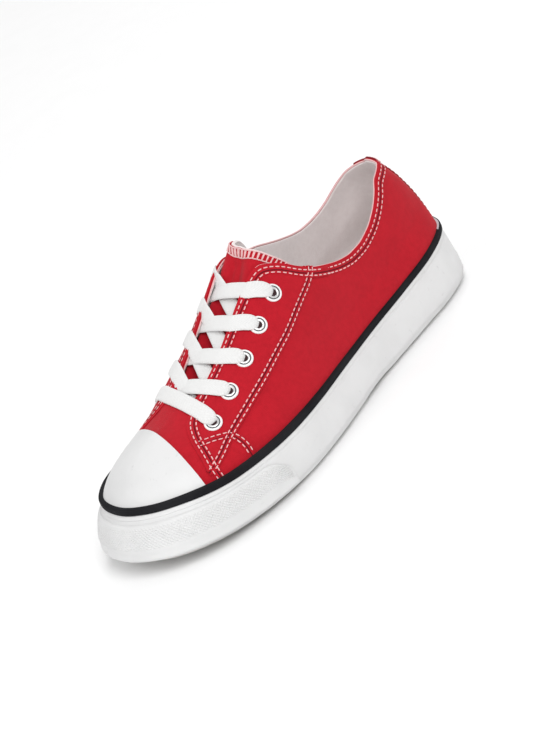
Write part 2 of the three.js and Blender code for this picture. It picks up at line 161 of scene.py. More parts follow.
@dataclass
class Last:
    """Foot form that every piece of the upper lies on.

    A place on it is a share of the way round the foot, from the heel over the lateral
    side, and a rise, an angle from 0 at the floor to a quarter turn on the crest.
    """

    length: float = 265.8
    inset: float = 3.4
    spine: tuple[float, float] = (52.0, 222.0)
    blunt: tuple[float, float] = (1.95, 2.1)
    blunt_run: tuple[float, float] = (120.0, 200.0)
    gap: float = 0.3
    spring: tuple[float, float] = (6.1, 170.0)
    arch: tuple[float, float, float] = (88.0, 136.0, 1.0)
    heel_tip: tuple[float, float] = (0.0, 2.4)
    toe_tip: tuple[float, float] = (265.8, -2.0)
    brim: float = 1.6
    toe: tuple[float, float] = (222.0, 264.0)
    flare: tuple[float, float, float] = (2.3, 7.0, 13.0)
    heel_flare: tuple[float, float] = (22.0, 0.08)
    tuck: tuple[float, float, float, float] = (2.2, 66.0, 84.0, 0.06)
    bulge: tuple[float, float, float, float] = (1.5, 58.0, 14.0, 0.09)
    outline: Table = (
        (6, 20.6, 15.7), (14, 26.7, 24), (32, 31.7, 30.4), (63, 33.8, 30.2),
        (95, 35.7, 28.6), (127, 40, 31.9), (158, 45, 40.1), (189, 47.2, 46.4),
        (220, 43.5, 45.8), (240, 36, 40.5), (255, 24, 30.8), (262, 14, 19.8),
    )
    profile: Table = (
        (0, 17, 33.6), (40, 16.4, 29.8), (90, 14.6, 27.3), (140, 12.6, 26.7),
        (190, 11, 27.2), (230, 10.8, 29.4), (268, 11, 32.6),
    )
    crest: Table = (
        (-20, 116, 0), (40, 114, 0.8), (80, 112, 1.1), (110, 109.5, 1.4),
        (130, 99, 1.5), (150, 83.5, 0.9), (170, 69.8, 0.1), (190, 59.5, -0.6),
        (210, 52.4, -1.7), (235, 51.3, -3.6), (270, 51.5, -6),
    )

    def __post_init__(self) -> None:
        """Turns the tables into curves."""
        at, floor, stripe = np.transpose(self.profile)
        self.floor_line, self.stripe_at = Profile(at, floor), Profile(at, stripe)
        at, height, lean = np.transpose(self.crest)
        self.crest_at, self.lean_at = Profile(at, height), Profile(at, lean)
        rows = np.array(self.outline)
        self.corners = np.vstack((
            self.heel_tip, rows[:, :2], self.toe_tip, rows[::-1, [0, 2]] * (1, -1)))
        self.cubics = self._cubics()
        shares = np.linspace(0, 0.5, 2001)
        self.base_table = {
            side: (self.rim(shares if side is Side.LATERAL else 1 - shares,
                            -self.inset)[:, 0], shares) for side in Side}

    def _cubics(self) -> Array:
        """Coefficients of the closed foxing line, a piece between each two corners.

        Returns:
            Four sets of plan coefficients, a row for each stretch.
        """
        before, here = np.roll(self.corners, 1, 0), self.corners
        after, beyond = np.roll(here, -1, 0), np.roll(here, -2, 0)
        gaps = [np.sqrt(np.linalg.norm(b - a, axis=1))[:, None]
                for a, b in ((before, here), (here, after), (after, beyond))]
        start = ((here - before) / gaps[0] - (after - before) / (gaps[0] + gaps[1])
                 + (after - here) / gaps[1]) * gaps[1]
        end = ((after - here) / gaps[1] - (beyond - here) / (gaps[1] + gaps[2])
               + (beyond - after) / gaps[2]) * gaps[1]
        return np.stack((here, start, -3 * here + 3 * after - 2 * start - end,
                         2 * here - 2 * after + start + end))

    def rim(self, share: Array, out: Array = 0.0) -> Array:
        """Foxing line in plan, moved outwards.

        Args:
            share: Share of the way round.
            out: Distance outwards.

        Returns:
            Points in plan, two numbers each.
        """
        turn = np.mod(np.asarray(share, float), 1.0) * len(self.corners)
        i = np.minimum(turn.astype(int), len(self.corners) - 1)
        s = (turn - i)[..., None]
        c = [part[i] for part in self.cubics]
        point = c[0] + s * (c[1] + s * (c[2] + s * c[3]))
        tangent = unit(c[1] + s * (2 * c[2] + 3 * s * c[3]))
        normal = np.stack((-tangent[..., 1], tangent[..., 0]), -1)
        return point + np.asarray(out, float)[..., None] * normal

    def rest_at(self, x: Array) -> Array:
        """Height at which the foot rests."""
        return self.floor_line(x) + self.spring_at(x)

    def brim_at(self, x: Array) -> Array:
        """Height at which the canvas comes out of the sole."""
        return self.stripe_at(x) + self.brim

    def at_toe(self, x: Array) -> Array:
        """Share from 0 behind the toe to 1 at its tip."""
        return smoothstep(x, *self.toe)

    def spring_at(self, x: Array) -> Array:
        """How far the toe is turned up."""
        height, start = self.spring
        return height * np.clip((x - start) / (self.length - start), 0, 1.1) ** 2

    def ground_at(self, x: Array) -> Array:
        """Height of the underside of the sole.

        Args:
            x: Distances from the heel.

        Returns:
            Heights.
        """
        low, high, relief = self.arch
        share = np.clip((x - low) / (high - low), 0, 1)
        return self.spring_at(x) + relief * np.sin(math.pi * share) ** 2

    def point(self, share: Array, rise: Array, grow: float = 0.0) -> Array:
        """Point of the last.

        Args:
            share: Share of the way round.
            rise: Angle up from the floor; past the crest it comes down the other side.
            grow: Distance by which the whole surface is moved out.

        Returns:
            Points, three numbers each.
        """
        share, rise, grow = np.broadcast_arrays(
            np.asarray(share, float), np.asarray(rise, float), np.asarray(grow, float))
        over = rise > QUARTER
        share, rise = np.where(over, 1 - share, share), np.where(over, math.pi - rise, rise)
        base = self.rim(share, grow - self.inset)
        base_x, base_y = base[..., 0], base[..., 1]
        spine_x = self.spine[0] + base_x / self.length * (self.spine[1] - self.spine[0])
        power = 2 / self._bluntness(base_x)
        inward = 1 - np.maximum(np.cos(rise), 0) ** power
        x = base_x + (spine_x - base_x) * inward
        y = base_y + (self.lean_at(spine_x) - base_y) * inward
        floor = self.rest_at(base_x) + self.gap
        up = np.maximum(np.sin(rise), 0) ** power
        z = floor + (self.crest_at(x) + grow - floor) * up
        return self._pulled(share, np.stack((x, y, z), -1))

    def _pulled(self, share: Array, point: Array) -> Array:
        """Point with the cloth drawn out over the sole's edge and in at the heel's top.

        Args:
            share: Shares of the way round.
            point: Points of the plain form, which are changed.

        Returns:
            The points.
        """
        out, below, above = self.flare
        forward, low, high, near = self.tuck
        x, z = point[..., 0], point[..., 2]
        edge = self.brim_at(x)
        behind = np.abs(np.mod(share + 0.5, 1.0) - 0.5)
        above = above + self.heel_flare[0] * np.exp(-((behind / self.heel_flare[1]) ** 2))
        spread = (out * smoothstep(z, edge - below, edge - 1) * (1 - self.at_toe(x))
                  * (1 - smoothstep(z, edge, edge + above)))
        point[..., :2] += spread[..., None] * (self.rim(share, 1.0) - self.rim(share))
        point[..., 0] += forward * smoothstep(z, low, high) * np.exp(-((behind / near) ** 2))
        back, middle, tall, wide = self.bulge
        point[..., 0] -= back * np.exp(-(((z - middle) / tall) ** 2) - (behind / wide) ** 2)
        return point

    def _bluntness(self, x: Array) -> Array:
        """Exponent of the cross section at x."""
        return self.blunt[0] + (self.blunt[1] - self.blunt[0]) * smoothstep(x, *self.blunt_run)

    def frames(self, share: Array, rise: Array) -> tuple[Array, ...]:
        """Point, outward normal, and the steps per unit of share and of rise.

        Args:
            share: Shares of the way round.
            rise: Rises.

        Returns:
            Points, normals and the two steps.
        """
        step = 0.002
        along = (self.point(share + step, rise) - self.point(share - step, rise)) / (2 * step)
        up = (self.point(share, rise + step) - self.point(share, rise - step)) / (2 * step)
        return self.point(share, rise), unit(np.cross(up, along)), along, up

    def share_at(self, x: Array, rise: Array, side: Side) -> Array:
        """Share of the way round at which the surface passes x at a given rise.

        Args:
            x: Distances from the heel.
            rise: Rises.
            side: Side of the foot.

        Returns:
            Shares.
        """
        spread = (self.spine[1] - self.spine[0]) / self.length
        base = np.array(x, float)
        for _ in range(8):
            reach = np.maximum(np.cos(rise), 0) ** (2 / self._bluntness(base))
            base = (x - (1 - reach) * self.spine[0]) / (reach + (1 - reach) * spread)
        shares = np.interp(base, *self.base_table[side])
        return shares if side is Side.LATERAL else 1 - shares

    def _search(self, x: Array, side: Side, axis: int, wanted: Array) -> tuple:
        """Place at x where another coordinate has a wanted value, by halving.

        Args:
            x: Distances from the heel.
            side: Side of the foot.
            axis: The other coordinate: 1 is sideways and 2 is up.
            wanted: Its values.

        Returns:
            Shares and rises.
        """
        x, wanted = np.broadcast_arrays(np.asarray(x, float), np.asarray(wanted, float))
        low, high = np.zeros(x.shape), np.full(x.shape, QUARTER)
        sign = side.value if axis == 1 else -1
        for _ in range(30):
            middle = (low + high) / 2
            found = self.point(self.share_at(x, middle, side), middle)[..., axis]
            below = sign * found > sign * wanted
            low, high = np.where(below, middle, low), np.where(below, high, middle)
        return self.share_at(x, low, side), low

    def beside(self, x: Array, z: Array, side: Side) -> tuple:
        """Share and rise of the place seen from one side at x and height z."""
        return self._search(x, side, 2, z)

    def above(self, x: Array, off: Array) -> tuple:
        """Share and rise of the place seen from above, off sideways from the crest.

        Args:
            x: Distances from the heel.
            off: Distances off the crest, towards the lateral side.

        Returns:
            Shares and rises.
        """
        x, off = np.broadcast_arrays(np.asarray(x, float), np.asarray(off, float))
        y = self.lean_at(x) + off
        lateral = self._search(x, Side.LATERAL, 1, y)
        medial = self._search(x, Side.MEDIAL, 1, y)
        return tuple(np.where(off >= 0, a, b) for a, b in zip(lateral, medial))


@dataclass
class TopLine:
    """Top edge of the upper: the collar round the ankle and the throat in front."""

    last: Last
    lateral: Table = (
        (-20, 86), (14, 83.2), (26, 82), (36.6, 79.4), (42, 75), (49.3, 69.9),
        (59, 64.9), (70, 62), (81.5, 61.8), (91, 64.1), (100, 67.8), (108.4, 71.9),
        (115.3, 77.0), (121, 82.5), (126, 86.2), (130, 88.8), (134, 91.5), (160, 106),
    )
    medial: Table = (
        (-20, 86), (14, 83.2), (18, 81.8), (20.5, 78.8), (23.5, 75.4), (28, 72),
        (35, 67.5), (42, 65.2), (50, 64.6), (60, 65.4), (70, 68.2), (80, 72), (88, 75.5),
        (98, 80), (108, 83), (112, 84.4), (118, 87), (125, 90), (151, 99),
    )
    throat: Table = (
        (112, 14), (127, 16), (134, 14.7), (142, 12.9), (151, 12.0), (165, 11.4),
        (182, 11.0), (195, 10.2), (200, 8), (203, 4.5), (204.5, 0),
    )
    skew: tuple[float, float] = (9.0, 12.0)
    lowest: float = 40.0
    columns: int = 1440
    softness: int = 4

    def __post_init__(self) -> None:
        """Finds the edge's rise at each share of the way round."""
        self.throat_x, self.throat_half = np.transpose(self.throat)
        self.shares = np.linspace(0, 1, self.columns + 1)
        rises = np.linspace(0.1, QUARTER, 240)
        opened = self._opened(self.last.point(self.shares[:, None], rises[None, :]))
        first = np.argmax(opened, 1)
        closed = ~opened.any(1)
        low, high = rises[np.maximum(first - 1, 0)], rises[first]
        for _ in range(16):
            middle = (low + high) / 2
            inside = self._opened(self.last.point(self.shares, middle))
            low, high = np.where(inside, low, middle), np.where(inside, middle, high)
        self.rises = np.where(closed, QUARTER, high)
        more = BELL_REACH + 1
        ring = np.concatenate((self.rises[-more:-1], self.rises, self.rises[1:more]))
        soft = np.convolve(ring, bell(self.softness), "valid")
        self.rises = np.where(closed, QUARTER, soft)

    def half_at(self, x: Array, off: Array) -> Array:
        """Half width of the throat, whose inner side sits nearer the heel.

        Args:
            x: How far forward.
            off: How far off the crest, which tells the sides apart.

        Returns:
            Half widths.
        """
        back, over = self.skew
        ahead = x + back * (1 - np.clip(off / over, -1, 1)) / 2
        inside = (ahead > self.throat_x[0]) & (ahead < self.throat_x[-1])
        return np.interp(ahead, self.throat_x, self.throat_half) * inside

    def collar_at(self, x: Array, side: Side) -> Array:
        """Height of the collar on one side."""
        return np.interp(x, *np.transpose(getattr(self, side.name.lower())))

    def _opened(self, points: Array) -> Array:
        """Whether points lie in the collar's or the throat's opening.

        Args:
            points: Points on the last.

        Returns:
            True where a point is in an opening.
        """
        x, y, z = np.moveaxis(points, -1, 0)
        above = z > np.where(y > self.last.heel_tip[1], self.collar_at(x, Side.LATERAL),
                             self.collar_at(x, Side.MEDIAL))
        off = y - self.last.lean_at(x)
        return above | ((np.abs(off) < self.half_at(x, off)) & (z > self.lowest))

    def rise(self, share: Array) -> Array:
        """Rise of the top edge at a share of the way round."""
        return np.interp(np.mod(share, 1.0), self.shares, self.rises)


# ---- lines on the last


@dataclass
class Line:
    """Line drawn on the last, as shares and rises."""

    last: Last
    share: Array
    rise: Array

    @classmethod
    def through(cls, last: Last, places: list, step: float = 0.5) -> "Line":
        """Smooth line through places.

        Args:
            last: The last.
            places: Pairs of share and rise.
            step: Distance between the new line's points.

        Returns:
            The line.
        """
        share, rise = np.array(places, float).T
        points = last.point(share, rise)
        run = run_along(points)
        at = np.linspace(0, run[-1], max(int(run[-1] / step) * 2, 8))
        return cls(last, Profile(run, share)(at), Profile(run, rise)(at)).spaced(step)

    @classmethod
    def across(cls, one: "Line", first: int, other: "Line", second: int, count: int) -> "Line":
        """Short line from a point of one line to a point of another.

        Args:
            one: The line that it leaves.
            first: Index of the point on that line.
            other: The line that it reaches.
            second: Index of the point on that line.
            count: Points of the short line.

        Returns:
            The short line.
        """
        return cls(one.last, np.linspace(one.share[first], other.share[second], count),
                   np.linspace(one.rise[first], other.rise[second], count))

    def points(self) -> Array:
        """The line's points on the last."""
        return self.last.point(self.share, self.rise)

    def part(self, start: int, end: int | None) -> "Line":
        """The stretch between two of its points."""
        return Line(self.last, self.share[start:end], self.rise[start:end])

    def length(self) -> float:
        """Length in millimetres."""
        return float(self._run()[-1])

    def _run(self) -> Array:
        """Distance from the start at each point."""
        return run_along(self.points())

    def cut(self, start: float, end: float, step: float = 0.5) -> "Line":
        """The stretch between two distances from the start, evenly spaced.

        Args:
            start: Where the stretch begins.
            end: Where it ends.
            step: Distance between its points.

        Returns:
            The stretch.
        """
        run = self._run()
        at = np.linspace(start, end, max(int(round((end - start) / step)), 2) + 1)
        return Line(self.last, np.interp(at, run, self.share), np.interp(at, run, self.rise))

    def spaced(self, step: float) -> "Line":
        """The same line, evenly spaced."""
        return self.cut(0, self.length(), step)

    def at(self, count: int) -> "Line":
        """The same line with a number of evenly spaced points."""
        return self.cut(0, self.length(), self.length() / (count - 1))

    def softened(self, reach: float, step: float = 0.5) -> "Line":
        """The same line with its corners eased over a reach in millimetres.

        Args:
            reach: How far a corner is eased.
            step: Distance between the new line's points.

        Returns:
            The eased line.
        """
        line = self.spaced(step)
        window, more = bell(reach / step / 2.4), BELL_REACH
        eased = []
        for part in (line.share, line.rise):
            ends = (2 * part[0] - part[more:0:-1], part, 2 * part[-1] - part[-2:-more - 2:-1])
            eased.append(np.convolve(np.concatenate(ends), window, "valid"))
        return Line(self.last, *eased)

    def frames(self) -> tuple[Array, ...]:
        """Points, tangents, normals, and the direction to the left of the line.

        Returns:
            Four arrays, a row for each point.
        """
        point, normal, _, _ = self.last.frames(self.share, self.rise)
        tangent = unit(np.gradient(point, axis=0))
        left = unit(np.cross(normal, tangent))
        return point, tangent, normal, left

    def beside(self, distance: float) -> "Line":
        """Line beside this one, to its left by a distance on the surface.

        Args:
            distance: How far to the left; a negative one is to the right.

        Returns:
            The new line.
        """
        share, rise = self.share.copy(), self.rise.copy()
        left = self.frames()[3]
        parts = max(int(abs(distance) / 1.5), 1)
        for _ in range(parts):
            _, _, along, up = self.last.frames(share, rise)
            move = left * distance / parts
            aa, ab, bb = (np.sum(p * q, -1) for p, q in ((along, along), (along, up), (up, up)))
            am, bm = np.sum(along * move, -1), np.sum(up * move, -1)
            det = np.maximum(aa * bb - ab * ab, 1e-9)
            share, rise = share + (am * bb - bm * ab) / det, rise + (bm * aa - am * ab) / det
        return Line(self.last, share, rise)


# ---- the workshop


class Workshop:
    """Hand operations on meshes that every piece shares."""

    @staticmethod
    def deselect() -> None:
        """Deselects every object."""
        for one in bpy.data.objects:
            one.select_set(False)

    @staticmethod
    def alone(piece: Piece) -> None:
        """Selects one piece and nothing else.

        Args:
            piece: The piece.
        """
        if bpy.context.object and bpy.context.object.mode != "OBJECT":
            bpy.ops.object.mode_set(mode="OBJECT")
        Workshop.deselect()
        piece.select_set(True)
        bpy.context.view_layer.objects.active = piece

    @staticmethod
    def place(points: Array) -> Array:
        """Points in the row frame, in metres."""
        return (np.asarray(points, float) - HEEL_TO_CENTRE) * MM

    @classmethod
    def cloth(cls, name: str, points: Array, flip: bool = False) -> Piece:
        """Grid primitive laid over points, with a UV map in metres of cloth.

        Args:
            name: Name of the piece.
            points: Rows of columns of points, in millimetres.
            flip: Whether the faces are turned over.

        Returns:
            The piece.
        """
        rows, columns = points.shape[:2]
        cls.deselect()
        bpy.ops.mesh.primitive_grid_add(
            x_subdivisions=columns - 1, y_subdivisions=rows - 1, size=2, calc_uvs=True)
        piece = bpy.context.object
        piece.name = piece.data.name = name
        count = len(piece.data.vertices)
        flat = np.empty(count * 3, np.float32)
        piece.data.vertices.foreach_get("co", flat)
        flat = flat.reshape(-1, 3)
        column = np.rint((flat[:, 0] + 1) / 2 * (columns - 1)).astype(int)
        row = np.rint((flat[:, 1] + 1) / 2 * (rows - 1)).astype(int)
        placed = cls.place(points)
        piece.data.vertices.foreach_set("co", placed[row, column].astype(np.float32).ravel())
        middle = placed[rows // 2]
        across = run_along(middle)
        along = np.concatenate((np.zeros((1, columns)), np.cumsum(
            np.linalg.norm(np.diff(placed, axis=0), axis=2), axis=0)))
        cls.unwrap(piece, np.stack((across[column], along[row, column]), -1))
        piece.data.update()
        if flip:
            cls.edit(piece, bpy.ops.mesh.flip_normals)
        return piece

    @staticmethod
    def unwrap(piece: Piece, by_vertex: Array) -> None:
        """Writes a UV map that gives each vertex one place on the cloth.

        Args:
            piece: The piece.
            by_vertex: Two numbers for each vertex, in metres of cloth.
        """
        layer = piece.data.uv_layers.active or piece.data.uv_layers.new(name="cloth")
        corner = np.empty(len(piece.data.loops), np.int32)
        piece.data.loops.foreach_get("vertex_index", corner)
        layer.data.foreach_set("uv", by_vertex[corner].astype(np.float32).ravel())

    @staticmethod
    def shift_map(piece: Piece, across: float) -> None:
        """Moves a piece's UV map sideways, in metres of cloth.

        Args:
            piece: The piece.
            across: Distance.
        """
        layer = piece.data.uv_layers.active
        flat = np.empty(len(piece.data.loops) * 2, np.float32)
        layer.data.foreach_get("uv", flat)
        flat[1::2] += across
        layer.data.foreach_set("uv", flat)

    @classmethod
    def edit(cls, piece: Piece, operator: Callable, **settings) -> None:
        """Runs one edit-mode operator on the whole of a piece.

        Args:
            piece: The piece.
            operator: The operator.
            settings: Its settings.
        """
        cls.alone(piece)
        bpy.ops.object.mode_set(mode="EDIT")
        bpy.ops.mesh.select_mode(type="VERT")
        bpy.ops.mesh.select_all(action="SELECT")
        operator(**settings)
        bpy.ops.object.mode_set(mode="OBJECT")

    @classmethod
    def weld(cls, piece: Piece, reach: float = 0.01) -> None:
        """Merges vertices that lie together, within a reach in millimetres."""
        cls.edit(piece, bpy.ops.mesh.remove_doubles, threshold=reach * MM)

    @classmethod
    def apply(cls, piece: Piece, kind: str, **settings) -> None:
        """Adds one modifier, sets it and applies it.

        Args:
            piece: The piece.
            kind: The modifier's type.
            settings: Its settings.
        """
        cls.alone(piece)
        modifier = piece.modifiers.new(kind.lower(), kind)
        for key, value in settings.items():
            setattr(modifier, key, value)
        bpy.ops.object.modifier_apply(modifier=modifier.name)

    @classmethod
    def thicken(cls, piece: Piece, thick: float, rounding: float = 0.0,
                side: float = -1.0, smooth: float = 40.0) -> None:
        """Gives a sheet its thickness and rounds its edges.

        Args:
            piece: The sheet.
            thick: Thickness in millimetres.
            rounding: Radius of the rounded edges in millimetres, or 0.
            side: -1 grows inwards, 1 outwards.
            smooth: Angle in degrees below which faces shade smooth.
        """
        cls.apply(piece, "SOLIDIFY", thickness=thick * MM, offset=side, use_even_offset=False,
                  use_rim=True)
        if rounding:
            cls.apply(piece, "BEVEL", width=rounding * MM, segments=2, limit_method="ANGLE",
                      angle_limit=math.radians(60))
        cls.shade(piece, smooth)

    @classmethod
    def shade(cls, piece: Piece, angle: float = 40.0) -> None:
        """Shades smooth, keeping edges sharper than an angle."""
        cls.alone(piece)
        bpy.ops.object.shade_smooth_by_angle(angle=math.radians(angle))

    @classmethod
    def scatter(cls, name: str, pattern: Piece, at: Array, axes: Array) -> Piece:
        """One mesh of many copies of a small pattern piece, which is then taken away.

        Args:
            name: Name of the new piece.
            pattern: Small piece, in millimetres about its own origin.
            at: Where each copy stands, in millimetres.
            axes: For each copy, its three axes as rows, which may be stretched.

        Returns:
            The new piece.
        """
        count = len(pattern.data.vertices)
        flat = np.empty(count * 3, np.float32)
        pattern.data.vertices.foreach_get("co", flat)
        placed = cls.place(np.einsum("vi,nij->nvj", flat.reshape(-1, 3), axes) + at[:, None, :])
        faces = [tuple(polygon.vertices) for polygon in pattern.data.polygons]
        every = [tuple(v + i * count for v in face) for i in range(len(at)) for face in faces]
        mesh = bpy.data.meshes.new(name)
        mesh.from_pydata(placed.reshape(-1, 3).tolist(), [], every)
        piece = bpy.data.objects.new(name, mesh)
        bpy.context.scene.collection.objects.link(piece)
        one = flat.reshape(-1, 3)
        cls.unwrap(piece, np.tile(np.stack((one[:, 0], one[:, 1]), -1) * MM, (len(at), 1)))
        bpy.data.objects.remove(pattern)
        cls.shade(piece, 80)
        return piece

    @classmethod
    def thread(cls, radius: float) -> Piece:
        """Short capsule of thread along X, two millimetres between its ends' centres.

        Args:
            radius: Radius, in the same units.

        Returns:
            The capsule.
        """
        cls.deselect()
        bpy.ops.mesh.primitive_uv_sphere_add(segments=8, ring_count=6, radius=radius,
                                             rotation=(0, QUARTER, 0))
        piece = bpy.context.object
        bpy.ops.object.transform_apply(location=True, rotation=True, scale=True)
        for vertex in piece.data.vertices:
            if abs(vertex.co.x) > radius * 0.1:
                vertex.co.x += math.copysign(1 - radius, vertex.co.x)
        return piece

    @classmethod
    def ribbon(cls, name: str, centre: Array, across: Array, up: Array, width: Array,
               thick: Array, around: int = 14) -> Piece:
        """Closed flat braid along a line, with rounded edges.

        Args:
            name: Name of the piece.
            centre: Points of the line, in millimetres.
            across: Direction across the braid at each point.
            up: Direction out of its flat side.
            width: Full width at each point.
            thick: Full thickness at each point.
            around: Points round the section.

        Returns:
            The braid.
        """
        turn = np.linspace(0, 2 * math.pi, around + 1)
        flat = np.sign(np.cos(turn)) * np.abs(np.cos(turn)) ** 0.55
        tall = np.sign(np.sin(turn)) * np.abs(np.sin(turn)) ** 0.8
        share = np.ones((len(centre), 1, 1))
        share[0], share[-1] = 0.02, 0.02
        points = centre[:, None] + share * (
            across[:, None] * (flat[None, :, None] * width[:, None, None] / 2)
            + up[:, None] * (tall[None, :, None] * thick[:, None, None] / 2))
        piece = cls.cloth(name, points)
        cls.weld(piece, 0.002)
        cls.edit(piece, cls.close_ends)
        cls.shade(piece, 60)
        return piece

    @staticmethod
    def close_ends() -> None:
        """Fills open ends and turns all faces outwards."""
        bpy.ops.mesh.select_all(action="DESELECT")
        bpy.ops.mesh.select_non_manifold()
        bpy.ops.mesh.edge_face_add()
        bpy.ops.mesh.select_all(action="SELECT")
        bpy.ops.mesh.normals_make_consistent(inside=False)

    @staticmethod
    def hand_in(piece: Piece, finish: Finish, slot: str, *nodes: str) -> None:
        """Dresses a finished piece and ties it to the frame.

        Args:
            piece: The finished piece.
            finish: Its material.
            slot: The record's material slot; not used.
            nodes: CAD nodes that it stands for.
        """
        piece.data.materials.clear()
        piece.data.materials.append(finish)
        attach(piece, "root")
        if nodes:
            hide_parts(*nodes)
        LOG.info("%s: %d faces", piece.name, len(piece.data.polygons))


# ---- finishes


class Nodes:
    """Node tree of one finish, with short ways to add what the finishes share."""

    def __init__(self, name: str) -> None:
        """Starts a material with its surface shader and its output.

        Args:
            name: Name of the material.
        """
        self.material = bpy.data.materials.new(name)
        self.material.use_nodes = True
        self.tree = self.material.node_tree
        self.tree.nodes.clear()
        self.shader = self.add("ShaderNodeBsdfPrincipled")
        output = self.add("ShaderNodeOutputMaterial")
        self.join(self.shader.outputs[0], output.inputs["Surface"])
        self.coords = self.add("ShaderNodeTexCoord")

    def add(self, kind: str, **values) -> bpy.types.Node:
        """Adds a node and sets its options and its inputs by name.

        Args:
            kind: Type of the node.
            values: Options and inputs.

        Returns:
            The node.
        """
        node = self.tree.nodes.new(kind)
        for key, value in values.items():
            if hasattr(node, key):
                setattr(node, key, value)
            else:
                node.inputs[key.replace("_", " ")].default_value = value
        return node

    def join(self, out: Socket, into: Socket) -> None:
        """Joins an output to an input."""
        self.tree.links.new(out, into)

    def noise(self, size: float, detail: float = 3.0, rough: float = 0.55) -> Socket:
        """Noise of a size in millimetres.

        Args:
            size: Size of its lumps in millimetres.
            detail: Finer layers.
            rough: How strong the finer layers are.

        Returns:
            Its output.
        """
        node = self.add("ShaderNodeTexNoise", Scale=1 / (size * MM), Detail=detail,
                        Roughness=rough)
        self.join(self.coords.outputs["Object"], node.inputs["Vector"])
        return node.outputs["Fac"]

    def bands(self, pitch: float, turn: float) -> Socket:
        """Parallel bands along the cloth map.

        Args:
            pitch: Distance between bands in millimetres.
            turn: Turn in degrees.

        Returns:
            Its output.
        """
        turned = self.add("ShaderNodeMapping")
        turned.inputs["Rotation"].default_value = (0, 0, math.radians(turn))
        self.join(self.coords.outputs["UV"], turned.inputs["Vector"])
        wave = self.add("ShaderNodeTexWave", wave_profile="SIN",
                        Scale=2 * math.pi / 20 / (pitch * MM), Distortion=0.35, Detail=1.0)
        wave.inputs["Detail Scale"].default_value = 2.0
        self.join(turned.outputs[0], wave.inputs["Vector"])
        return wave.outputs["Fac"]

    def maths(self, operation: str, a: Input, b: Input) -> Socket:
        """Arithmetic on two sockets or numbers.

        Args:
            operation: The operation.
            a: Socket or number.
            b: Socket or number.

        Returns:
            Its output.
        """
        node = self.add("ShaderNodeMath", operation=operation)
        for value, socket in ((a, node.inputs[0]), (b, node.inputs[1])):
            if isinstance(value, (int, float)):
                socket.default_value = value
            else:
                self.join(value, socket)
        return node.outputs[0]

    def ramp(self, share: Socket, low: tuple, high: tuple, start: float = 0.35,
             end: float = 0.65) -> Socket:
        """Colour that runs from low to high as a share passes from start to end.

        Args:
            share: The share.
            low: First colour.
            high: Last colour.
            start: Share at which the run starts.
            end: Share at which it ends.

        Returns:
            The colour.
        """
        node = self.add("ShaderNodeValToRGB")
        for element, colour, place in zip(node.color_ramp.elements, (low, high), (start, end)):
            element.color, element.position = (*colour, 1), place
        self.join(share, node.inputs[0])
        return node.outputs[0]

    def blend(self, share: Input, first: Input, second: Input) -> Socket:
        """Multiplies a colour by a share of a second one.

        Args:
            share: How much of the second one counts.
            first: Colour.
            second: Colour.

        Returns:
            The colour.
        """
        node = self.add("ShaderNodeMix", data_type="RGBA", blend_type="MULTIPLY")
        for value, socket in ((share, node.inputs[0]), (first, node.inputs[6]),
                              (second, node.inputs[7])):
            if isinstance(value, (int, float)):
                socket.default_value = value
            elif isinstance(value, tuple):
                socket.default_value = (*value, 1)
            else:
                self.join(value, socket)
        return node.outputs[2]

    def roughness(self, share: Socket, low: float, high: float) -> None:
        """Lets roughness vary between two values.

        Args:
            share: What it follows.
            low: Roughness where that is 0.
            high: Roughness where that is 1.
        """
        node = self.add("ShaderNodeMapRange")
        node.inputs["To Min"].default_value, node.inputs["To Max"].default_value = low, high
        self.join(share, node.inputs["Value"])
        self.join(node.outputs[0], self.shader.inputs["Roughness"])

    def bump(self, layers: list) -> None:
        """Stacks bumps, each a socket with its depth in millimetres.

        Args:
            layers: Pairs of a socket and a depth.
        """
        before = None
        for height, depth in layers:
            node = self.add("ShaderNodeBump", Strength=1.0, Distance=depth * MM)
            self.join(height, node.inputs["Height"])
            if before is not None:
                self.join(before, node.inputs["Normal"])
            before = node.outputs[0]
        self.join(before, self.shader.inputs["Normal"])


@dataclass(frozen=True)
class Canvas:
    """Plain woven cotton: crossed yarns, faint slubs and a soft bloom, with a painted shade line down the
    trough of seam tape.
    """

    name: str
    colour: tuple[float, float, float]
    shade: tuple[float, float, float]
    pitch: float = 0.62
    depth: float = 0.05
    sheen: float = 0.05
    trough: float = 0.0

    def make(self) -> Finish:
        """The finish as a material.

        Returns:
            The material.
        """
        n = Nodes(self.name)
        warp, weft = n.bands(self.pitch, 0), n.bands(self.pitch, 90)
        yarns = n.maths("MULTIPLY", warp, weft)
        slubs = n.noise(2.6, 4, 0.6)
        cloud = n.noise(16, 2)
        base = n.ramp(slubs, self.shade, self.colour, 0.22, 0.62)
        lit = n.ramp(cloud, (0.93,) * 3, (1.0,) * 3, 0.3, 0.7)
        woven = n.ramp(yarns, (0.86,) * 3, (1.0,) * 3, 0.0, 0.5)
        toned = n.blend(1.0, base, lit)
        # Painted shade: on seam tape, a dark band down the middle between the two stitch rows stands for
        # the shade in the trough.
        if self.trough:
            place = n.add("ShaderNodeSeparateXYZ")
            n.join(n.coords.outputs["UV"], place.inputs[0])
            off = n.maths("ABSOLUTE", place.outputs[1], 0.0)
            share = n.maths("DIVIDE", off, self.trough * MM)
            toned = n.blend(1.0, toned, n.ramp(share, (0.25, 0.4, 0.5), (1.0,) * 3, 0.45, 1.0))
        n.join(n.blend(1.0, toned, woven), n.shader.inputs["Base Color"])
        n.roughness(slubs, 0.78, 0.95)
        n.bump([(yarns, self.depth), (slubs, self.depth * 1.6)])
        n.shader.inputs["Sheen Weight"].default_value = self.sheen
        n.shader.inputs["Sheen Roughness"].default_value = 0.5
        n.shader.inputs["Specular IOR Level"].default_value = 0.12
        return n.material


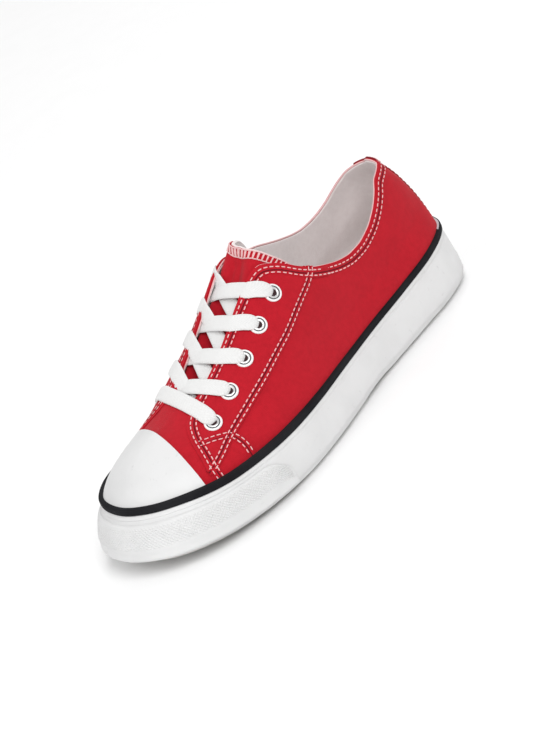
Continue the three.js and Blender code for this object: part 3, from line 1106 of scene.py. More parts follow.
@dataclass(frozen=True)
class Rubber:
    """Moulded rubber: fine grain, faint clouds of colour and handling marks."""

    name: str
    colour: tuple[float, float, float]
    shade: tuple[float, float, float]
    rough: tuple[float, float] = (0.42, 0.6)
    grain: float = 0.03
    wear: float = 0.5
    specular: float = 0.4

    def make(self) -> Finish:
        """The finish as a material.

        Returns:
            The material.
        """
        n = Nodes(self.name)
        cloud = n.noise(22, 4)
        grain = n.noise(0.7, 2)
        base = n.ramp(cloud, self.shade, self.colour, 0.3, 0.6)
        marks = n.ramp(n.noise(5, 6, 0.7), (1.0,) * 3, self.colour, 0.62, 0.75)
        n.join(n.blend(self.wear, base, marks), n.shader.inputs["Base Color"])
        n.roughness(grain, *self.rough)
        n.bump([(grain, self.grain), (n.noise(9, 2), self.grain * 4)])
        n.shader.inputs["Specular IOR Level"].default_value = self.specular
        return n.material


@dataclass(frozen=True)
class Braid:
    """Flat cotton braid: slanted plies that meet in chevrons along it."""

    name: str
    colour: tuple[float, float, float]
    shade: tuple[float, float, float]
    pitch: float = 0.9
    depth: float = 0.09

    def make(self) -> Finish:
        """The finish as a material.

        Returns:
            The material.
        """
        n = Nodes(self.name)
        plies = n.maths("MAXIMUM", n.bands(self.pitch, 35), n.bands(self.pitch, -35))
        lint = n.noise(1.2, 4, 0.7)
        base = n.ramp(plies, self.shade, self.colour, 0.0, 0.7)
        soft = n.ramp(lint, (0.95,) * 3, (1.0,) * 3)
        n.join(n.blend(1.0, base, soft), n.shader.inputs["Base Color"])
        n.roughness(lint, 0.8, 0.95)
        n.bump([(plies, self.depth), (lint, 0.03)])
        n.shader.inputs["Sheen Weight"].default_value = 0.15
        n.shader.inputs["Specular IOR Level"].default_value = 0.2
        return n.material


@dataclass(frozen=True)
class Metal:
    """Plated or enamelled metal with fine rub marks."""

    name: str
    colour: tuple[float, float, float]
    metallic: float
    rough: tuple[float, float] = (0.22, 0.38)

    def make(self) -> Finish:
        """The finish as a material.

        Returns:
            The material.
        """
        n = Nodes(self.name)
        rub = n.noise(0.9, 4, 0.7)
        dull = tuple(0.88 * c for c in self.colour)
        n.join(n.ramp(rub, dull, self.colour), n.shader.inputs["Base Color"])
        n.roughness(rub, *self.rough)
        n.bump([(rub, 0.01)])
        n.shader.inputs["Metallic"].default_value = self.metallic
        return n.material


@dataclass(frozen=True)
class Palette:
    """Every finish of the shoe."""

    canvas: Canvas = Canvas("red_canvas", (0.51, 0.0108, 0.0225), (0.44, 0.008, 0.018))
    # Seam canvas: the same red, with a painted shade line down the trough between its rows.
    seam: Canvas = Canvas("seam_canvas_trough_shade", (0.48, 0.010, 0.021), (0.41, 0.008, 0.017), trough=0.5)
    heel: Canvas = Canvas("heel_canvas", (0.30, 0.006, 0.012), (0.24, 0.004, 0.009))
    lining: Canvas = Canvas("lining_cloth", (0.94, 0.87, 0.86), (0.88, 0.80, 0.79), 0.5, 0.04)
    footbed: Canvas = Canvas("footbed_cloth", (0.80, 0.77, 0.75), (0.70, 0.67, 0.65), 0.8, 0.06)
    thread: Braid = Braid("stitch_thread", (0.78, 0.50, 0.50), (0.66, 0.38, 0.38), 0.5, 0.05)
    tonal: Braid = Braid("tonal_thread", (0.30, 0.008, 0.015), (0.22, 0.006, 0.010), 0.5, 0.05)
    lace: Braid = Braid("lace_cotton", (0.74, 0.74, 0.735), (0.66, 0.66, 0.655))
    foxing: Rubber = Rubber("foxing_rubber", (0.69, 0.69, 0.69), (0.65, 0.65, 0.65))
    bumper: Rubber = Rubber("bumper_rubber", (0.69, 0.69, 0.69), (0.65, 0.65, 0.65), (0.5, 0.66))
    cap: Rubber = Rubber("cap_rubber", (0.66, 0.66, 0.66), (0.62, 0.62, 0.62), (0.34, 0.46), 0.012)
    tread: Rubber = Rubber("tread_rubber", (0.66, 0.65, 0.63), (0.59, 0.58, 0.55), (0.5, 0.7))
    stripe: Rubber = Rubber("stripe_rubber", (0.014, 0.014, 0.016), (0.008, 0.008, 0.010),
                            (0.75, 0.9), specular=0.12)
    # Painted highlight: pale grey for the stripe's ledge behind the heel, where light catches its top.
    ledge: Rubber = Rubber("ledge_painted_highlight", (0.50, 0.47, 0.49), (0.42, 0.39, 0.41))
    enamel: Metal = Metal("eyelet_enamel", (0.86, 0.86, 0.86), 0.0, (0.25, 0.4))
    groove: Metal = Metal("eyelet_groove", (0.10, 0.11, 0.11), 0.6, (0.35, 0.5))
    steel: Metal = Metal("eyelet_steel", (0.80, 0.80, 0.80), 0.9)
    # Painted shade: near-black colour of the discs that stand for the shadow in each eyelet's hole.
    dark: Metal = Metal("eyelet_hole_shade", (0.03, 0.008, 0.010), 0.0, (0.8, 0.9))
    floor: Rubber = Rubber("studio_floor", (0.90, 0.90, 0.90), (0.89, 0.89, 0.89), (0.7, 0.8), 0.001, 0.0)


# ---- camera and light


@dataclass
class Studio:
    """Plain pale floor, soft light and the camera."""

    azimuth: float = 139.71
    elevation: float = 24.26
    roll: float = -26.43
    distance: float = 1337.8
    lens: float = 128.8
    aim: tuple[float, float, float] = (-0.2, 0.1, 30.0)
    aside: tuple[float, float] = (-1.27, -0.11)
    floor_size: float = 14.0

    def camera(self) -> None:
        """Makes the camera, which looks down at the shoe from beyond its toe."""
        a, e, r = (math.radians(v) for v in (self.azimuth, self.elevation, self.roll))
        back = np.array((math.sin(a) * math.cos(e), -math.cos(a) * math.cos(e), math.sin(e)))
        right = np.array((math.cos(a), math.sin(a), 0.0))
        up = np.cross(back, right)
        across = math.cos(r) * right + math.sin(r) * up
        upward = -math.sin(r) * right + math.cos(r) * up
        spot = (np.array(self.aim) + across * self.aside[0] + upward * self.aside[1]
                + back * self.distance) * MM
        data = bpy.data.cameras.new("camera")
        data.lens, data.sensor_width = self.lens, 36.0
        data.clip_start, data.clip_end = 0.05, 50.0
        camera = bpy.data.objects.new("camera", data)
        bpy.context.scene.collection.objects.link(camera)
        turn = np.eye(4)
        turn[:3, 0], turn[:3, 1], turn[:3, 2], turn[:3, 3] = across, upward, back, spot
        camera.matrix_world = Matrix(turn.tolist())
        bpy.context.scene.camera = camera

    def light(self) -> None:
        """Even pale surroundings and three large soft lamps."""
        world = bpy.data.worlds.new("studio")
        world.use_nodes = True
        world.node_tree.nodes["Background"].inputs[0].default_value = (1, 1, 1, 1)
        world.node_tree.nodes["Background"].inputs[1].default_value = 0.62
        bpy.context.scene.world = world
        bpy.context.scene.view_settings.view_transform = "Standard"
        for name, place, size, power in (
            ("key", (0.5, 1.3, 1.7), 1.6, 26),
            ("fill", (1.6, -0.4, 1.2), 1.6, 9),
            ("back", (-1.3, -0.6, 1.5), 1.4, 9),
        ):
            data = bpy.data.lights.new(name, "AREA")
            data.shape, data.size, data.energy = "DISK", size, power
            lamp = bpy.data.objects.new(name, data)
            bpy.context.scene.collection.objects.link(lamp)
            lamp.location = place
            lamp.rotation_euler = (-Vector(place)).to_track_quat("-Z", "Y").to_euler()

    def floor(self, finish: Finish) -> None:
        """Lays the floor.

        Args:
            finish: Its material.
        """
        Workshop.deselect()
        bpy.ops.mesh.primitive_plane_add(size=self.floor_size)
        floor = bpy.context.object
        floor.name = "floor"
        floor.data.materials.append(finish)


# ---- seams and stitches


@dataclass
class Seam:
    """Double-stitched seam: two soft ridges with a trough between, and their stitches."""

    line: Line
    name: str
    base: float | Array = 0.0
    rows: tuple[float, ...] = (-1.2, 1.2)
    half: float = 2.1
    ridge: float = 0.3
    stitch: float = 2.3
    gap: float = 0.85
    step: float = 0.55
    crest: float = 0.55
    pucker: float = 0.22
    sunk: float = -0.35
    fine: int = 8

    def heights(self, count: int) -> Array:
        """Height of the cloth under the seam along the line."""
        base = np.atleast_1d(np.asarray(self.base, float))
        return np.interp(np.linspace(0, 1, count), np.linspace(0, 1, len(base)), base)

    def tape(self, finish: Finish) -> None:
        """The ridged band of cloth along the seam.

        Args:
            finish: Its material.
        """
        line = self.line.softened(3.0, self.step)
        offs = np.linspace(-self.half, self.half, 13)
        rows = np.array(self.rows)
        near = np.min(np.abs(offs[:, None] - rows[None, :]), 1)
        crown = self.ridge * np.exp(-((near / self.crest) ** 2))
        edge = np.abs(offs) > self.half - 0.01
        height = self.heights(len(line.share))
        turn = np.arange(len(line.share)) * self.step / (self.stitch + self.gap) * 2 * math.pi
        pucker = 1 - self.pucker * (0.5 + 0.5 * np.cos(turn))
        grid = []
        for off, rise_up, last_one in zip(offs, crown, edge):
            beside = line.beside(off)
            point, normal, _, _ = self.line.last.frames(beside.share, beside.rise)
            lift = np.full(len(height), self.sunk) if last_one else rise_up * pucker
            grid.append(point + normal * (height + lift)[:, None])
        piece = Workshop.cloth(self.name, np.array(grid), flip=True)
        Workshop.shift_map(piece, -self.half * MM)
        Workshop.thicken(piece, 0.3, 0.0, -1.0, 70)
        Workshop.hand_in(piece, finish, "canvas")

    def threads(self) -> tuple[Array, Array]:
        """Where the seam's stitches lie, and their axes.

        Returns:
            Middles and axes, a row for each stitch.
        """
        at, axes = [], []
        pitch = self.stitch + self.gap
        for row in self.rows:
            beside = self.line.softened(3.0).beside(row)
            count = max(int(beside.length() / pitch), 1)
            spaced = beside.spaced(pitch / self.fine)
            point, tangent, normal, left = spaced.frames()
            height = self.heights(len(point)) + self.ridge + 0.06
            for i in range(count):
                k = min(i * self.fine + self.fine // 2, len(point) - 1)
                at.append(point[k] + normal[k] * height[k])
                axes.append((tangent[k] * self.stitch / 2, left[k], normal[k] * 0.8))
        return np.array(at), np.array(axes)


# ---- the upper


@dataclass
class Upper:
    """Canvas upper: shell, lining, lace panels, patches, heel strip and its seams."""

    last: Last
    top: TopLine
    palette: dict
    columns: int = 520
    rows: int = 34
    canvas: float = 1.0
    lining: float = 0.8
    panel: float = 0.6
    border: float = 1.7
    thread: float = 0.38
    seam_line: Table = (
        (109.6, 73.4), (111, 71.6), (113.5, 70.2), (128, 65), (143, 59.7), (158, 55.2),
        (171, 51.2), (190, 45.6), (208.2, 40.1), (219, 36.8), (229.5, 33.9),
    )
    front_line: Table = (
        (134, 14.7), (142, 12.9), (151, 12.0), (165, 11.4), (182, 11.0), (196.9, 10.4),
        (206, 10.6), (213, 13.0), (219.8, 19.2), (225.9, 28.4), (229.6, 34.6),
    )
    patch_rear: Table = ((221.8, 42.9), (214.5, 41.2), (209.3, 39.2), (208.6, 35.5),
                         (210.2, 30.5), (211.6, 26.0))
    front_foot: tuple[float, float] = (231.3, 26.0)
    medial_seam_top: Table = ((107.6, 84.2), (108.6, 79.5), (111, 74), (116, 70))
    edge_corner: Table = ((112.0, 0.5), (116.0, 0.7), (121.0, 0.9), (125.5, 1.0))
    heel: tuple[float, float] = (0.0265, 0.2)
    tab: tuple[float, float, int] = (0.026, 4.8, 9)
    heel_height: float = 72.0
    edge_row: float = 3.4
    edge_rows: tuple[float, float] = (-1.45, 1.45)

    def shell_points(self, grow: float, lower: float = 0.0) -> Array:
        """Grid over the whole upper, from the sole up to the top line.

        Args:
            grow: Distance outside the last.
            lower: Distance by which the top edge stays below the top line.

        Returns:
            Rows of columns of points.
        """
        share = np.linspace(0, 1, self.columns + 1)
        top = self.top.rise(share)
        shut = top > QUARTER - 1e-6
        top = np.where(shut, top, top - lower / 60)
        level = np.linspace(0, 1, self.rows)[:, None] ** 0.92
        points = self.last.point(share[None, :], top[None, :] * level, grow)
        crest = (points[-1] + points[-1][::-1]) / 2
        points[-1] = np.where(shut[:, None], crest, points[-1])
        return points

    def shell(self, name: str, grow: float, thick: float, lower: float, rounding: float) -> Piece:
        """One closed shell of cloth over the whole upper.

        Args:
            name: Name of the piece.
            grow: Distance outside the last.
            thick: Thickness inwards.
            lower: How far its top stays below the top line.
            rounding: Radius of its edges.

        Returns:
            The shell.
        """
        points = self.shell_points(grow, lower)
        points[:, -1] = points[:, 0]
        piece = Workshop.cloth(name, points, flip=True)
        Workshop.weld(piece, 0.02)
        Workshop.thicken(piece, thick, rounding)
        return piece

    def coons(self, bottom: Line, top: Line, start: Line, end: Line, across: int,
              along: int) -> tuple[Array, Array]:
        """Patch of the last between four lines that meet at their ends.

        Args:
            bottom: First long side, from start's first point to end's first.
            top: Second long side, from start's last point to end's last.
            start: Short side at the beginning.
            end: Short side at the other end.
            across: Points between the long sides.
            along: Points along them.

        Returns:
            Shares and rises, rows across and columns along.
        """
        u, v = np.linspace(0, 1, along)[None, :], np.linspace(0, 1, across)[:, None]
        found = []
        for part in ("share", "rise"):
            b, t = (getattr(line.at(along), part)[None, :] for line in (bottom, top))
            s, e = (getattr(line.at(across), part)[:, None] for line in (start, end))
            corners = ((1 - u) * (1 - v) * b[:, :1] + u * (1 - v) * b[:, -1:]
                       + (1 - u) * v * t[:, :1] + u * v * t[:, -1:])
            found.append((1 - v) * b + v * t + (1 - u) * s + u * e - corners)
        return found[0], found[1]

    def panel_lines(self, side: Side) -> dict[str, Line]:
        """The lines that bound and stitch one lace panel.

        Args:
            side: Side of the foot.

        Returns:
            The seam behind, the front edge and the patch's rear edge.
        """
        table, back = self.seam_line, 0.0
        if side is Side.MEDIAL:
            back = self.top.skew[0]
            table = (*self.medial_seam_top, *(row for row in table if row[0] > 120))
        x, z = np.transpose(table)
        x = x - back * smoothstep(x, 125, 175)
        seam = Line.through(self.last, np.transpose(self.last.beside(x, z, side)))
        x, off = np.transpose(self.front_line)
        share, rise = self.last.above(x - back, off * side.value)
        foot = self.last.beside(self.front_foot[0] - back, self.front_foot[1], side)
        edge_x, moved = np.transpose(self.edge_corner)
        edge_x = edge_x - back * moved
        edge_share, edge_rise = self.last.beside(
            edge_x, self.top.collar_at(edge_x, side), side)
        corner = np.transpose((edge_share, np.minimum(edge_rise, self.top.rise(edge_share))))
        front = Line.through(self.last, [
            *corner, *np.transpose((share, rise)), (float(foot[0]), float(foot[1]))])
        x, z = np.transpose(self.patch_rear)
        rear = Line.through(self.last, np.transpose(self.last.beside(x - back, z, side)))
        return {"seam": seam, "front": front, "rear": rear}

    def build_panel(self, side: Side, canvas: Finish) -> None:
        """Lace panel over one side, with its patch and their seams.

        Args:
            side: Side of the foot.
            canvas: Its material.
        """
        lines = self.panel_lines(side)
        front, border = lines["front"], lines["seam"].beside(side.value * self.border)
        gaps = np.linalg.norm(front.points()[:, None] - border.points()[None, :], axis=2)
        cross_at = int(np.argmin(gaps.min(1)))
        near = border.part(0, nearest(border.points(), front.points()[cross_at]) + 1)
        far = front.part(0, cross_at + 1)
        ends = (Line.across(near, 0, far, 0, 12), Line.across(near, -1, far, -1, 12))
        share, rise = self.coons(near, far, *ends, 26, 150)
        piece = Workshop.cloth(f"lace_panel_{side.name.lower()}",
                               self.last.point(share, rise, 0.04), flip=side is Side.LATERAL)
        Workshop.thicken(piece, self.panel, 0.22, 1.0)
        Workshop.hand_in(piece, canvas, "canvas")
        self.patch(side, canvas, lines)

    def patch(self, side: Side, canvas: Finish, lines: dict[str, Line]) -> None:
        """Small reinforcing patch at the front foot of a panel.

        Args:
            side: Side of the foot.
            canvas: Its material.
            lines: Lines of the panel.
        """
        rear, front = lines["rear"], lines["front"]
        edge = front.part(nearest(front.points(), rear.points()[0]), None)
        ends = (Line.across(rear, 0, edge, 0, 6), Line.across(rear, -1, edge, -1, 6))
        share, rise = self.coons(rear, edge, *ends, 26, 60)
        piece = Workshop.cloth(f"patch_{side.name.lower()}", self.last.point(share, rise, 0.03),
                               flip=side is Side.LATERAL)
        Workshop.thicken(piece, self.panel * 0.55, 0.15, 1.0)
        Workshop.hand_in(piece, canvas, "canvas")

    def seams(self, side: Side) -> list[Seam]:
        """Every double row of one side.

        Args:
            side: Side of the foot.

        Returns:
            The seams.
        """
        lines, name = self.panel_lines(side), side.name.lower()
        return [
            Seam(lines["seam"], f"seam_quarter_{name}", self.panel),
            Seam(lines["rear"].beside(side.value * 1.9), f"seam_patch_{name}",
                 self.panel * 0.55, rows=(-1.3, 1.3), half=2.2),
        ]

    def edge_seam(self) -> Seam:
        """Double row along the top edge: up one throat side, round the heel, down the other.

        Returns:
            The seam.
        """
        fronts = [self.panel_lines(side)["front"] for side in Side]
        fronts[1].share = fronts[1].share - 1
        share = np.linspace(fronts[0].share[0], fronts[1].share[0], 1200)[1:-1]
        edge = Line(
            self.last,
            np.concatenate((fronts[0].share[::-1], share, fronts[1].share)),
            np.concatenate((fronts[0].rise[::-1], self.top.rise(share), fronts[1].rise)))
        row = edge.spaced(0.5).softened(3.6).beside(-self.edge_row)
        x = row.points()[:, 0]
        return Seam(row, "seam_edge", self.panel * smoothstep(x, 104, 107.5),
                    rows=self.edge_rows, half=2.35)

    def collar_binding(self, finish: Finish) -> None:
        """Thin pale edge where the lining meets the canvas at the top line.

        Args:
            finish: Its material.
        """
        share = np.linspace(-0.5, 0.5, 2001)
        rise = self.top.rise(share)
        open_part = rise < QUARTER - 1e-6
        share, rise = share[open_part], rise[open_part]
        point, _, normal, left = Line(self.last, share, rise).spaced(1.0).frames()
        centre = point - normal * 0.95 + left * 0.12
        piece = Workshop.ribbon("collar_binding", centre, normal, left,
                                np.full(len(centre), 0.8), np.full(len(centre), 0.8), 10)
        Workshop.hand_in(piece, finish, "lining_cloth")

    def heel_strip(self, cloth: Finish) -> list[Seam]:
        """Strip up the back of the heel with its two tonal rows.

        Args:
            cloth: Its material.

        Returns:
            Its two seams.
        """
        half, spread = self.heel
        share = np.linspace(-half, half, 30)[None, :]
        level = np.linspace(0.25, 1.0, 50)[:, None]
        widen = 1 + spread * (1 - level)
        rise = self.top.rise(share * widen) * level
        rise = np.minimum(rise, self.top.rise(share * widen) - 0.004)
        piece = Workshop.cloth("heel_strip", self.last.point(share * widen, rise, 0.04), flip=True)
        Workshop.thicken(piece, 0.5, 0.2, 1.0)
        Workshop.hand_in(piece, cloth, "canvas")
        found = []
        for sign, name in ((1, "lateral"), (-1, "medial")):
            level = np.linspace(0.3, 0.94, 60)
            where = sign * (half * 0.9) * (1 + spread * (1 - level))
            line = Line(self.last, where, self.top.rise(where) * level)
            found.append(Seam(line, f"heel_rows_{name}", 0.2, rows=(-0.7, 0.7), half=1.3))
        return found

    def heel_tab(self, cloth: Finish, thread: Finish) -> None:
        """Short band over the top of the heel, sewn down with slanting bars of thread.

        Args:
            cloth: Material of the band.
            thread: Material of the bars.
        """
        half, deep, bars = self.tab
        deep = deep / self.heel_height
        level = np.linspace(1.0, 0.0, 7)[:, None]
        share = np.linspace(-half, half, 40)[None, :]
        rise = self.top.rise(share) - deep * level
        piece = Workshop.cloth("heel_tab", self.last.point(share, rise, 0.5), flip=True)
        Workshop.thicken(piece, 0.35, 0.12, 1.0)
        Workshop.hand_in(piece, cloth, "canvas")
        where = np.linspace(-0.9 * half, 0.9 * half, 2 * bars)
        lean = half / bars * 0.35 * np.where(np.arange(2 * bars) % 2, 1, -1)
        low = self.last.point(where + lean, self.top.rise(where) - 0.92 * deep, 1.0)
        high = self.last.point(where - lean, self.top.rise(where) - 0.12 * deep, 1.0)
        along = (high - low) / 2
        normal = self.last.frames(where, self.top.rise(where))[1]
        across = unit(np.cross(normal, along))
        axes = np.stack((along, across, unit(np.cross(along, across))), 1)
        piece = Workshop.scatter("heel_tab_bars", Workshop.thread(0.4), (low + high) / 2, axes)
        Workshop.hand_in(piece, thread, "canvas")

    def build(self) -> None:
        """Makes every piece of the upper."""
        m = self.palette
        outer = self.shell("upper_canvas", 0.0, self.canvas, 0.0, 0.3)
        Workshop.hand_in(outer, m["canvas"], "canvas", "upper")
        inner = self.shell("upper_lining", -self.canvas - 0.03, self.lining, 0.25, 0.2)
        Workshop.hand_in(inner, m["lining"], "lining_cloth")
        self.collar_binding(m["thread"])
        seams = [self.edge_seam()]
        for side in Side:
            self.build_panel(side, m["canvas"])
            seams.extend(self.seams(side))
        for seam in seams:
            seam.tape(m["seam"])
        self.sew("upper_stitching", seams, m["thread"])
        heel = self.heel_strip(m["heel"])
        self.sew("heel_stitching", heel, m["tonal"])
        self.heel_tab(m["tonal"], m["thread"])

    def sew(self, name: str, seams: list[Seam], thread: Finish) -> None:
        """Lays the stitches of several seams as one piece.

        Args:
            name: Name of the piece.
            seams: The seams.
            thread: Its material.
        """
        at, axes = zip(*(seam.threads() for seam in seams))
        at, axes = np.concatenate(at), np.concatenate(axes)
        keep = at[:, 2] > self.last.brim_at(at[:, 0])
        piece = Workshop.scatter(name, Workshop.thread(self.thread), at[keep], axes[keep])
        Workshop.hand_in(piece, thread, "canvas")


# ---- tongue


@dataclass
class Tongue:
    """Padded canvas tongue with a white lining and an overlocked top edge."""

    last: Last
    palette: dict
    half: float = 25.0
    foot_x: float = 213.0
    depth: float = 3.1
    flat: float = 5.2
    thick: float = 1.0
    padding: float = 1.7
    edge: Table = (
        (-26, 101), (-17, 110), (-13, 116), (-10.5, 120.5), (-8, 124), (-4, 127.2),
        (2, 128.2), (9, 127.4), (14.5, 124.5), (19, 121), (22, 117.5), (26, 113),
    )
    columns: int = 81
    rows: int = 100
    length: float = 86.0
    bar_pitch: float = 1.2
    bar_height: float = 4.0

    def edge_x(self, share: Array) -> Array:
        """How far forward the top edge is, at a share across from -1 to 1."""
        return Profile(*np.transpose(self.edge))(np.asarray(share) * self.half)

    def place(self, share: Array, level: Array, lift: Array) -> Array:
        """Point of the tongue.

        Args:
            share: Share across, from -1 medial to 1 lateral.
            level: Share of the way from the top edge to the foot.
            lift: Height above the tongue's outer face.

        Returns:
            The points.
        """
        x = self.edge_x(share) + (self.foot_x - self.edge_x(share)) * level
        half = self.half * (1 - 0.42 * smoothstep(x, 135, 205))
        where = self.last.above(x, share * half)
        point, normal, _, _ = self.last.frames(*where)
        off = np.abs(share * half)
        sink = (self.depth - 0.9 * (1 - smoothstep(x, 126, 140))
                + self.flat * smoothstep(x, 122, 137) * (1 - smoothstep(off, 4, 13)))
        return point + normal * (lift - sink)[..., None]

    def build(self) -> None:
        """Makes the tongue's cloth, its lining and its edge stitching."""
        m = self.palette
        share = np.linspace(-1, 1, self.columns)[None, :]
        level = np.linspace(0, 1, self.rows)[:, None] ** 1.1
        share, level = np.broadcast_arrays(share, level)
        outer = Workshop.cloth("tongue_canvas", self.place(share, level, np.zeros(share.shape)),
                               flip=True)
        Workshop.thicken(outer, self.thick, 0.3)
        Workshop.hand_in(outer, m["canvas"], "tongue_canvas", "tongue")
        beyond = level - 0.010 * (1 - level)
        inner = Workshop.cloth("tongue_lining", self.place(
            share, beyond, np.full(share.shape, -self.thick - 0.02)), flip=True)
        Workshop.thicken(inner, self.padding, 0.5)
        Workshop.hand_in(inner, m["lining"], "lining_cloth")
        self.overlock(m["thread"])

    def overlock(self, thread: Finish) -> None:
        """Bars of thread over the top edge, with a line of loops on each side.

        Args:
            thread: Its material.
        """
        down = self.bar_height / self.length
        fine = np.linspace(-0.97, 0.97, 800)
        run = run_along(self.place(fine, np.zeros(800), np.zeros(800)))
        count = int(run[-1] / self.bar_pitch)
        where = np.interp(np.linspace(0, run[-1], count), run, fine)
        lean = np.where(np.arange(count) % 2, 0.016, -0.016)
        low = self.place(where + lean, np.full(count, down), np.full(count, 0.25))
        high = self.place(where + lean * 0.6, np.full(count, 0.004), np.full(count, 0.25))
        a = np.concatenate((low, high[:-1], low[:-1]))
        b = np.concatenate((high, high[1:], low[1:]))
        off = a[:, 1] - self.last.lean_at(a[:, 0])
        _, normal, _, _ = self.last.frames(*self.last.above(a[:, 0], off))
        along = (b - a) / 2
        across = unit(np.cross(normal, along))
        up = unit(np.cross(along, across))
        axes = np.stack((along * 1.04, across, up), 1)
        piece = Workshop.scatter("tongue_overlock", Workshop.thread(0.36), (a + b) / 2, axes)
        Workshop.hand_in(piece, thread, "tongue_canvas")


# ---- sole


@dataclass
class Sole:
    """Rubber parts: foxing, stripe, bumper, toe cap and the footbed inside."""

    last: Last
    palette: dict
    columns: int = 520
    stripe_height: float = 3.3
    proud: float = 0.4
    ground: float = 1.2
    wall: Table = (
        (0, -0.6, 0.4), (0.09, 1.4, 2.6), (0.3, 2, 2.6), (0.62, 1.2, 0.6), (1, 0, -4))
    side_section: Table = (
        (0.0, 3.8), (0.0, 0.9), (0.015, 0.25), (0.045, 0), (0.09, 0), (0.105, 0.3), (0.125, 0.3),
        (0.14, 0), (0.25, 0), (0.4, 0), (0.55, 0), (0.7, 0), (0.84, 0), (0.868, 0.02),
        (0.88, 0.4), (0.905, 0.4), (0.918, 0), (0.96, -0.1), (0.99, 0), (1.0, 0.3), (1.0, 2.7),
    )
    stripe_section: Table = (
        (-1, 0.02, -3.0), (-1, 0.02, -0.35), (-1, 0.15, -0.1), (-1, 0.5, 0.0), (0, 0, 0.05),
        (1, 0.5, 0.0), (1, 0.12, -0.12), (1, 0, -0.45), (1, 0.02, -3.0),
    )
    ledge_section: Table = (
        (1, 0.3, -3.3), (1, 0.3, -0.6), (1, -0.12, -0.75), (1, -0.2, -1.3), (1, -0.2, -3.3))
    bumper_start: float = 196.0
    bumper: tuple[float, float, float] = (0.9, 0.12, 0.85)
    relief: tuple[float, float, float] = (1.9, 20.0, 0.95)
    bumper_columns: int = 420
    cap: tuple[float, float, float, float, float] = (1.4, 220.2, 0.0004, 0.38, -8.0)
    # Distance from the heel within which the ledge carries the painted highlight.
    pale_ledge: float = 15.0
    footbed: tuple[float, float] = (4.0, 5.9)

    def __post_init__(self) -> None:
        """Turns the wall's table into curves."""
        up, out, toe = np.transpose(self.wall)
        self.out_at, self.toe_out_at = Profile(up, out), Profile(up, toe)

    def wall_points(self, share: Array, level: Array, out: Array) -> Array:
        """Points of the side wall.

        Args:
            share: Share of the way round.
            level: Share of the wall's height.
            out: Distance outside the wall's own surface.

        Returns:
            The points.
        """
        share, level, out = np.broadcast_arrays(share, level, out)
        x = self.last.rim(share)[..., 0]
        toe = self.last.at_toe(x)
        point = self.last.rim(share, self.out_at(level) + toe * self.toe_out_at(level) + out)
        low = self.last.ground_at(x) + self.ground
        top = self.last.stripe_at(x) - self.stripe_height / 2
        return np.concatenate((point, (low + (top - low) * level)[..., None]), -1)

    def ring(self, name: str, profile: list, share: Array | None = None) -> Piece:
        """Closed band round the sole from a closed section.

        Args:
            name: Name of the piece.
            profile: Functions of the share that give one ring of points each.
            share: Shares round the sole; the whole way if not given.

        Returns:
            The band.
        """
        share = np.linspace(0, 1, self.columns + 1) if share is None else share
        rings = np.array([ring(share) for ring in profile])
        if abs(share[-1] - share[0] - 1) < 1e-9:
            rings[:, -1] = rings[:, 0]
        piece = Workshop.cloth(name, np.concatenate((rings, rings[:1])), flip=True)
        Workshop.weld(piece, 0.002)
        Workshop.edit(piece, bpy.ops.mesh.normals_make_consistent, inside=False)
        Workshop.shade(piece, 50)
        return piece

    def level_ring(self, level: float, out: float) -> Ring:
        """Ring on the side wall, at a share of its height."""
        return lambda share: self.wall_points(share, level, out)

    def stripe_ring(self, height: float, out: float) -> Ring:
        """Ring at a height above the stripe's middle.

        Args:
            height: Height above the middle.
            out: Distance outside the wall.

        Returns:
            The ring.
        """
        def points(share: Array) -> Array:
            """Points of the ring.

            Args:
                share: Shares round the sole.

            Returns:
                The points.
            """
            x = self.last.rim(share)[..., 0]
            reach = self.out_at(1.0) + self.last.at_toe(x) * self.toe_out_at(1.0) + out
            return np.concatenate((self.last.rim(share, reach),
                                   (self.last.stripe_at(x) + height)[..., None]), -1)
        return points

    def inner_ring(self, out: float, height: float) -> Ring:
        """Ring inside the sole, at a height above the foot's rest.

        Args:
            out: Distance outside the foxing line.
            height: Height above the rest.

        Returns:
            The ring.
        """
        def points(share: Array) -> Array:
            """Points of the ring.

            Args:
                share: Shares round the sole.

            Returns:
                The points.
            """
            plan = self.last.rim(share, out)
            return np.concatenate((plan, (self.last.rest_at(plan[..., 0]) + height)[..., None]), -1)
        return points

    def foxing(self, finish: Finish) -> None:
        """White side wall with a rounded foot, a fine groove and a rim line on top.

        Args:
            finish: Its material.
        """
        section = [self.inner_ring(-3.4, -1.0)]
        section += [self.level_ring(level, -self.proud - sunk) for level, sunk in self.side_section]
        piece = self.ring("foxing", section)
        Workshop.hand_in(piece, finish, "foxing_rubber", "midsole")

    def stripe(self, dark: Finish, ledge: Finish) -> None:
        """Dark stripe round the foxing, and the ledge from it to the canvas.

        Args:
            dark: Material of the stripe.
            ledge: Pale material of the ledge behind the heel, a painted highlight on its top face.
        """
        band, shelf = (
            [self.stripe_ring(side * (self.stripe_height / 2 - inset), out)
             for side, inset, out in table]
            for table in (self.stripe_section, self.ledge_section))
        Workshop.hand_in(self.ring("stripe", band), dark, "stripe_rubber", "pinstripe")
        piece = self.ring("stripe_ledge", shelf)
        Workshop.hand_in(piece, dark, "stripe_rubber")
        # Painted highlight: behind the heel the ledge turns pale grey, where light catches the stripe's
        # top.
        piece.data.materials.append(ledge)
        for polygon in piece.data.polygons:
            behind = polygon.center[0] / MM + HEEL_TO_CENTRE[0] < self.pale_ledge
            polygon.material_index = int(behind)

